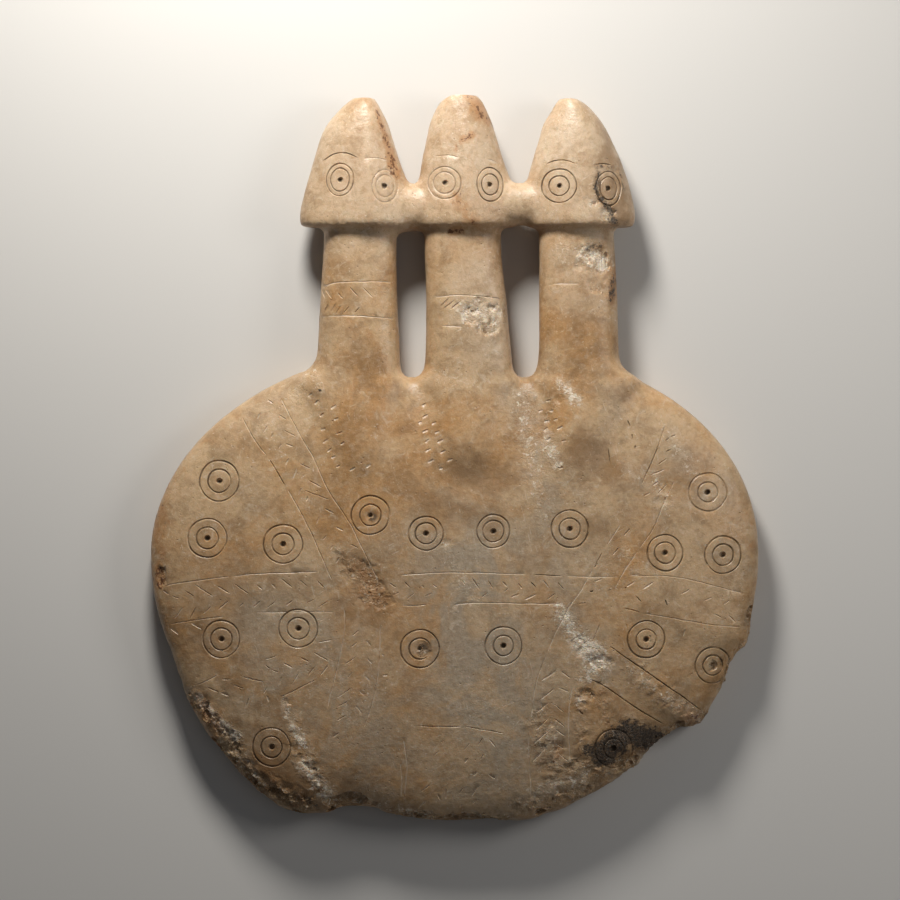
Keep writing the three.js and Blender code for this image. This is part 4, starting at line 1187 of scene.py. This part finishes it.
def clean_stone(n):
    """The clouded honey colour of the stone before any stain, its fine grain, and painted glints of light."""
    clouds = n.ease(n.noise(cloud_size, 5, 0.6, 0.8), 0.36, 0.64)
    veils = n.ease(n.noise(veil_size, 4, 0.6, 1.2), 0.42, 0.58)
    patches = n.ease(n.noise(patch_size, 4, 0.62, 0.5), 0.42, 0.66)
    wisps = n.ease(n.noise(wisp_size, 4, 0.66, 1.5), 0.54, 0.72)
    speck = n.ease(n.noise(speck_size, 2, 0.7), 0.6, 0.72)
    colour = n.mix(clouds, honey, cream)
    colour = n.coat(colour, patches, 0.4, umber)
    milky = n.both(n.mark("milk"), n.math("MULTIPLY_ADD", veils, 0.6, 0.32))
    colour = n.mix(milky, colour, milk)
    paled = n.both(n.mark("pale"), n.math("MULTIPLY_ADD", patches, -0.4, 0.75))
    colour = n.mix(paled, colour, pale)
    colour = n.coat(colour, wisps, 0.28, chalk)
    colour = n.coat(colour, speck, 0.26, umber)
    grain = n.noise(grain_size, 3, 0.7, 0.4)
    colour = n.coat(colour, n.ease(grain, 0.5, 0.66), 0.2, pale)
    colour = n.coat(colour, n.ease(grain, 0.5, 0.36), 0.2, umber)
    # Painted highlight: tiny pale flecks in patches, standing in for glints of light off the crystals
    painted_glint_spread = n.ease(n.noise(11 * mm, 3), 0.44, 0.6)
    painted_glints = n.both(n.ease(n.noise(painted_glint_size, 2, 0.5), 0.66, 0.72), painted_glint_spread)
    colour = n.coat(colour, painted_glints, 0.5, chalk)
    return colour, grain


def stained(n, colour, grainy):
    """Painted shade mixed with some brown stain, then bare breaks, chalk, rust and black crust laid over the
    stone.
    """
    halo = n.noise(halo_size, 3, 0.65)
    fleck = n.noise(fleck_size, 3, 0.7)
    # Painted shade, partly brown stain: a ragged darker tan where shade falls
    painted_shade_and_stain = n.ragged("shade", n.noise(6 * mm, 3, 0.6), 2.0, 0.1, 0.9)
    colour = n.coat(colour, painted_shade_and_stain, 0.6, shade_and_stain_tan)
    broken = n.ragged("broken", halo, 1.4, 0.2, 0.8)
    bared = n.mix(n.ease(n.noise(2.4 * mm, 3, 0.65), 0.42, 0.6), umber, cream)
    colour = n.coat(colour, broken, 0.5, bared)
    crystals = n.both(n.ease(n.noise(crystal_size, 2, 0.7, 0.6), 0.56, 0.66), broken)
    colour = n.coat(colour, crystals, 0.6, chalk)
    colour = n.coat(colour, n.ragged("chalk", halo, 2.2, 0.2, 1.0), 0.5, pale)
    colour = n.coat(colour, n.ragged("chalk", fleck, 3.4, 0.6, 1.1), 0.85, chalk)
    colour = n.coat(colour, n.ragged("rust", halo, 2.0, 0.15, 0.9), 0.6, ochre)
    colour = n.coat(colour, n.ragged("rust", fleck, 3.2, 0.85, 1.2), 0.85, rust)
    colour = n.coat(colour, n.ragged("crust", halo, 2.2, 0.2, 1.0), 0.6, umber)
    crusty = n.ragged("crust", fleck, 2.2, 0.5, 0.85)
    sooty = n.both(crusty, n.math("MULTIPLY_ADD", n.ease(grainy, 0.35, 0.6), -0.3, 0.98))
    return n.mix(sooty, colour, soot), broken


def worn(n, colour):
    """Pale bruises, and dark floors in the cuts that are partly old dirt and partly painted shade, then
    scratches and pits.
    """
    bruised = n.both(n.ease(n.mark("bruise"), 0.0, 0.5), n.ease(n.noise(3.5 * mm, 3), 0.3, 0.55))
    colour = n.coat(colour, bruised, 0.4, chalk)
    # Dark fill in the floors of the cuts: partly old dirt, partly painted shade in the recesses
    dirt_and_shade_dark = n.both(n.ease(n.mark("dirt_and_shade"), 0.05, 0.85), n.ease(n.noise(4 * mm, 3), 0.3, 0.6))
    colour = n.coat(colour, dirt_and_shade_dark, 0.8, soil_and_shade)
    scratch = n.noise(scratch_size, 2, 0.5, place=n.stretched(*scratch_runs[0]))
    crossed = n.noise(scratch_size, 2, 0.5, place=n.stretched(*scratch_runs[1]))
    scratched = n.math("MAXIMUM", n.ease(scratch, 0.66, 0.72), n.ease(crossed, 0.67, 0.73))
    scratched = n.both(scratched, n.ease(n.noise(14 * mm, 2), 0.4, 0.6))
    colour = n.coat(colour, scratched, 0.28, chalk)
    pits = n.math("SUBTRACT", 1.0, n.ease(n.cells(pit_spacing), 0.0, 0.17))
    pitted = n.both(pits, n.ease(n.noise(6 * mm, 2), 0.5, 0.6))
    return n.coat(colour, pitted, 0.5, umber), scratched, pitted


def fine_relief(n, grain, scratched, pitted, broken, grainy):
    """The finest relief: grain all over, scratches and pits, and grit on the rough places."""
    relief = n.both(n.noise(relief_grit_size, 1, 0.7), 0.22)
    relief = n.math("MULTIPLY_ADD", n.noise(relief_wave_size, 3, 0.6), 1.1, relief)
    relief = n.math("MULTIPLY_ADD", grain, 0.35, relief)
    relief = n.math("SUBTRACT", relief, n.both(pitted, 0.8))
    relief = n.math("SUBTRACT", relief, n.both(scratched, 0.15))
    rough_places = n.math("MAXIMUM", broken, n.math("MAXIMUM", n.mark("chalk"), n.mark("crust")))
    relief = n.math("MULTIPLY_ADD", n.both(rough_places, grainy), 2.4, relief)
    bump = n.add("ShaderNodeBump")
    bump.inputs["Strength"].default_value = relief_strength
    bump.inputs["Distance"].default_value = relief_height
    n.feed(bump.inputs["Height"], relief)
    return bump.outputs["Normal"]


def alabaster():
    """Translucent honey-coloured stone, with cloudy bands, crystals, stains and dirt in its cuts."""
    material = bpy.data.materials.new("alabaster")
    material.use_nodes = True
    n = Nodes(material)
    colour, grain = clean_stone(n)
    grainy = n.noise(grit_size, 2, 0.75)
    colour, broken = stained(n, colour, grainy)
    colour, scratched, pitted = worn(n, colour)

    shader = n.add("ShaderNodeBsdfPrincipled")
    n.feed(shader.inputs["Base Color"], colour)
    dull = n.math("MULTIPLY_ADD", n.noise(4 * mm, 3), dull_spread, least_dull)
    n.feed(shader.inputs["Roughness"], n.math("MULTIPLY_ADD", broken, dull_spread, dull))
    shader.inputs["Subsurface Weight"].default_value = share_sunk
    shader.inputs["Subsurface Radius"].default_value = sunk_colours
    shader.inputs["Subsurface Scale"].default_value = sunk_depth
    shader.inputs["IOR"].default_value = stone_ior
    n.feed(shader.inputs["Normal"], fine_relief(n, grain, scratched, pitted, broken, grainy))
    out = n.add("ShaderNodeOutputMaterial")
    n.tree.links.new(shader.outputs["BSDF"], out.inputs["Surface"])
    return material


def make_idol():
    piece = rough_out()
    rub_surface(piece)
    sound = tree_of(piece)
    break_edge(piece)
    roughen_breaks(piece, sound)
    thin_plain_faces(piece, sound)
    crumble(piece)
    wear_scars(piece)
    settle(piece)
    dirt_and_shade, bruises = carve(piece)
    mark_finish(piece, sound, dirt_and_shade, bruises)
    piece.data.shade_smooth()
    piece.data.set_sharp_from_angle(angle=math.radians(crease_angle))
    piece.data.materials.clear()
    piece.data.materials.append(alabaster())
    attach(piece, "root")
    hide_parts("idol")


def pale_floor():
    mesh = bmesh.new()
    bmesh.ops.create_grid(mesh, x_segments=1, y_segments=1, size=floor_half_width)
    data = bpy.data.meshes.new("floor")
    mesh.to_mesh(data)
    mesh.free()
    floor = bpy.data.objects.new("floor", data)
    bpy.context.scene.collection.objects.link(floor)
    material = bpy.data.materials.new("pale_floor")
    material.use_nodes = True
    shader = material.node_tree.nodes["Principled BSDF"]
    shader.inputs["Base Color"].default_value = floor_colour
    shader.inputs["Roughness"].default_value = 0.9
    data.materials.append(material)


def soft_light(name, place, target, size, energy, colour):
    lamp = bpy.data.lights.new(name, "AREA")
    lamp.shape = "DISK"
    lamp.size = size
    lamp.energy = energy
    lamp.color = colour
    light = bpy.data.objects.new(name, lamp)
    light.location = place
    light.rotation_euler = (Vector(place) - Vector(target)).to_track_quat("Z", "Y").to_euler()
    light.visible_camera = False
    bpy.context.scene.collection.objects.link(light)


def light_the_room():
    """Soft light that comes mostly from beyond the heads, a little from the left."""
    for lamp in lamps:
        soft_light(*lamp)
    world = bpy.data.worlds.new("room")
    world.use_nodes = True
    world.node_tree.nodes["Background"].inputs["Color"].default_value = room_colour
    world.node_tree.nodes["Background"].inputs["Strength"].default_value = room_strength
    bpy.context.scene.world = world
    bpy.context.scene.view_settings.view_transform = "Standard"


def overhead_camera():
    """A long lens straight above the figure, with the heads at the top of the picture."""
    lens = bpy.data.cameras.new("camera")
    lens.sensor_width = 36
    lens.lens = lens.sensor_width * (camera_height - face_height) / seen_width
    camera = bpy.data.objects.new("camera", lens)
    camera.location = (*picture_middle, camera_height)
    bpy.context.scene.collection.objects.link(camera)
    bpy.context.scene.camera = camera


overhead_camera()
light_the_room()
pale_floor()
make_idol()
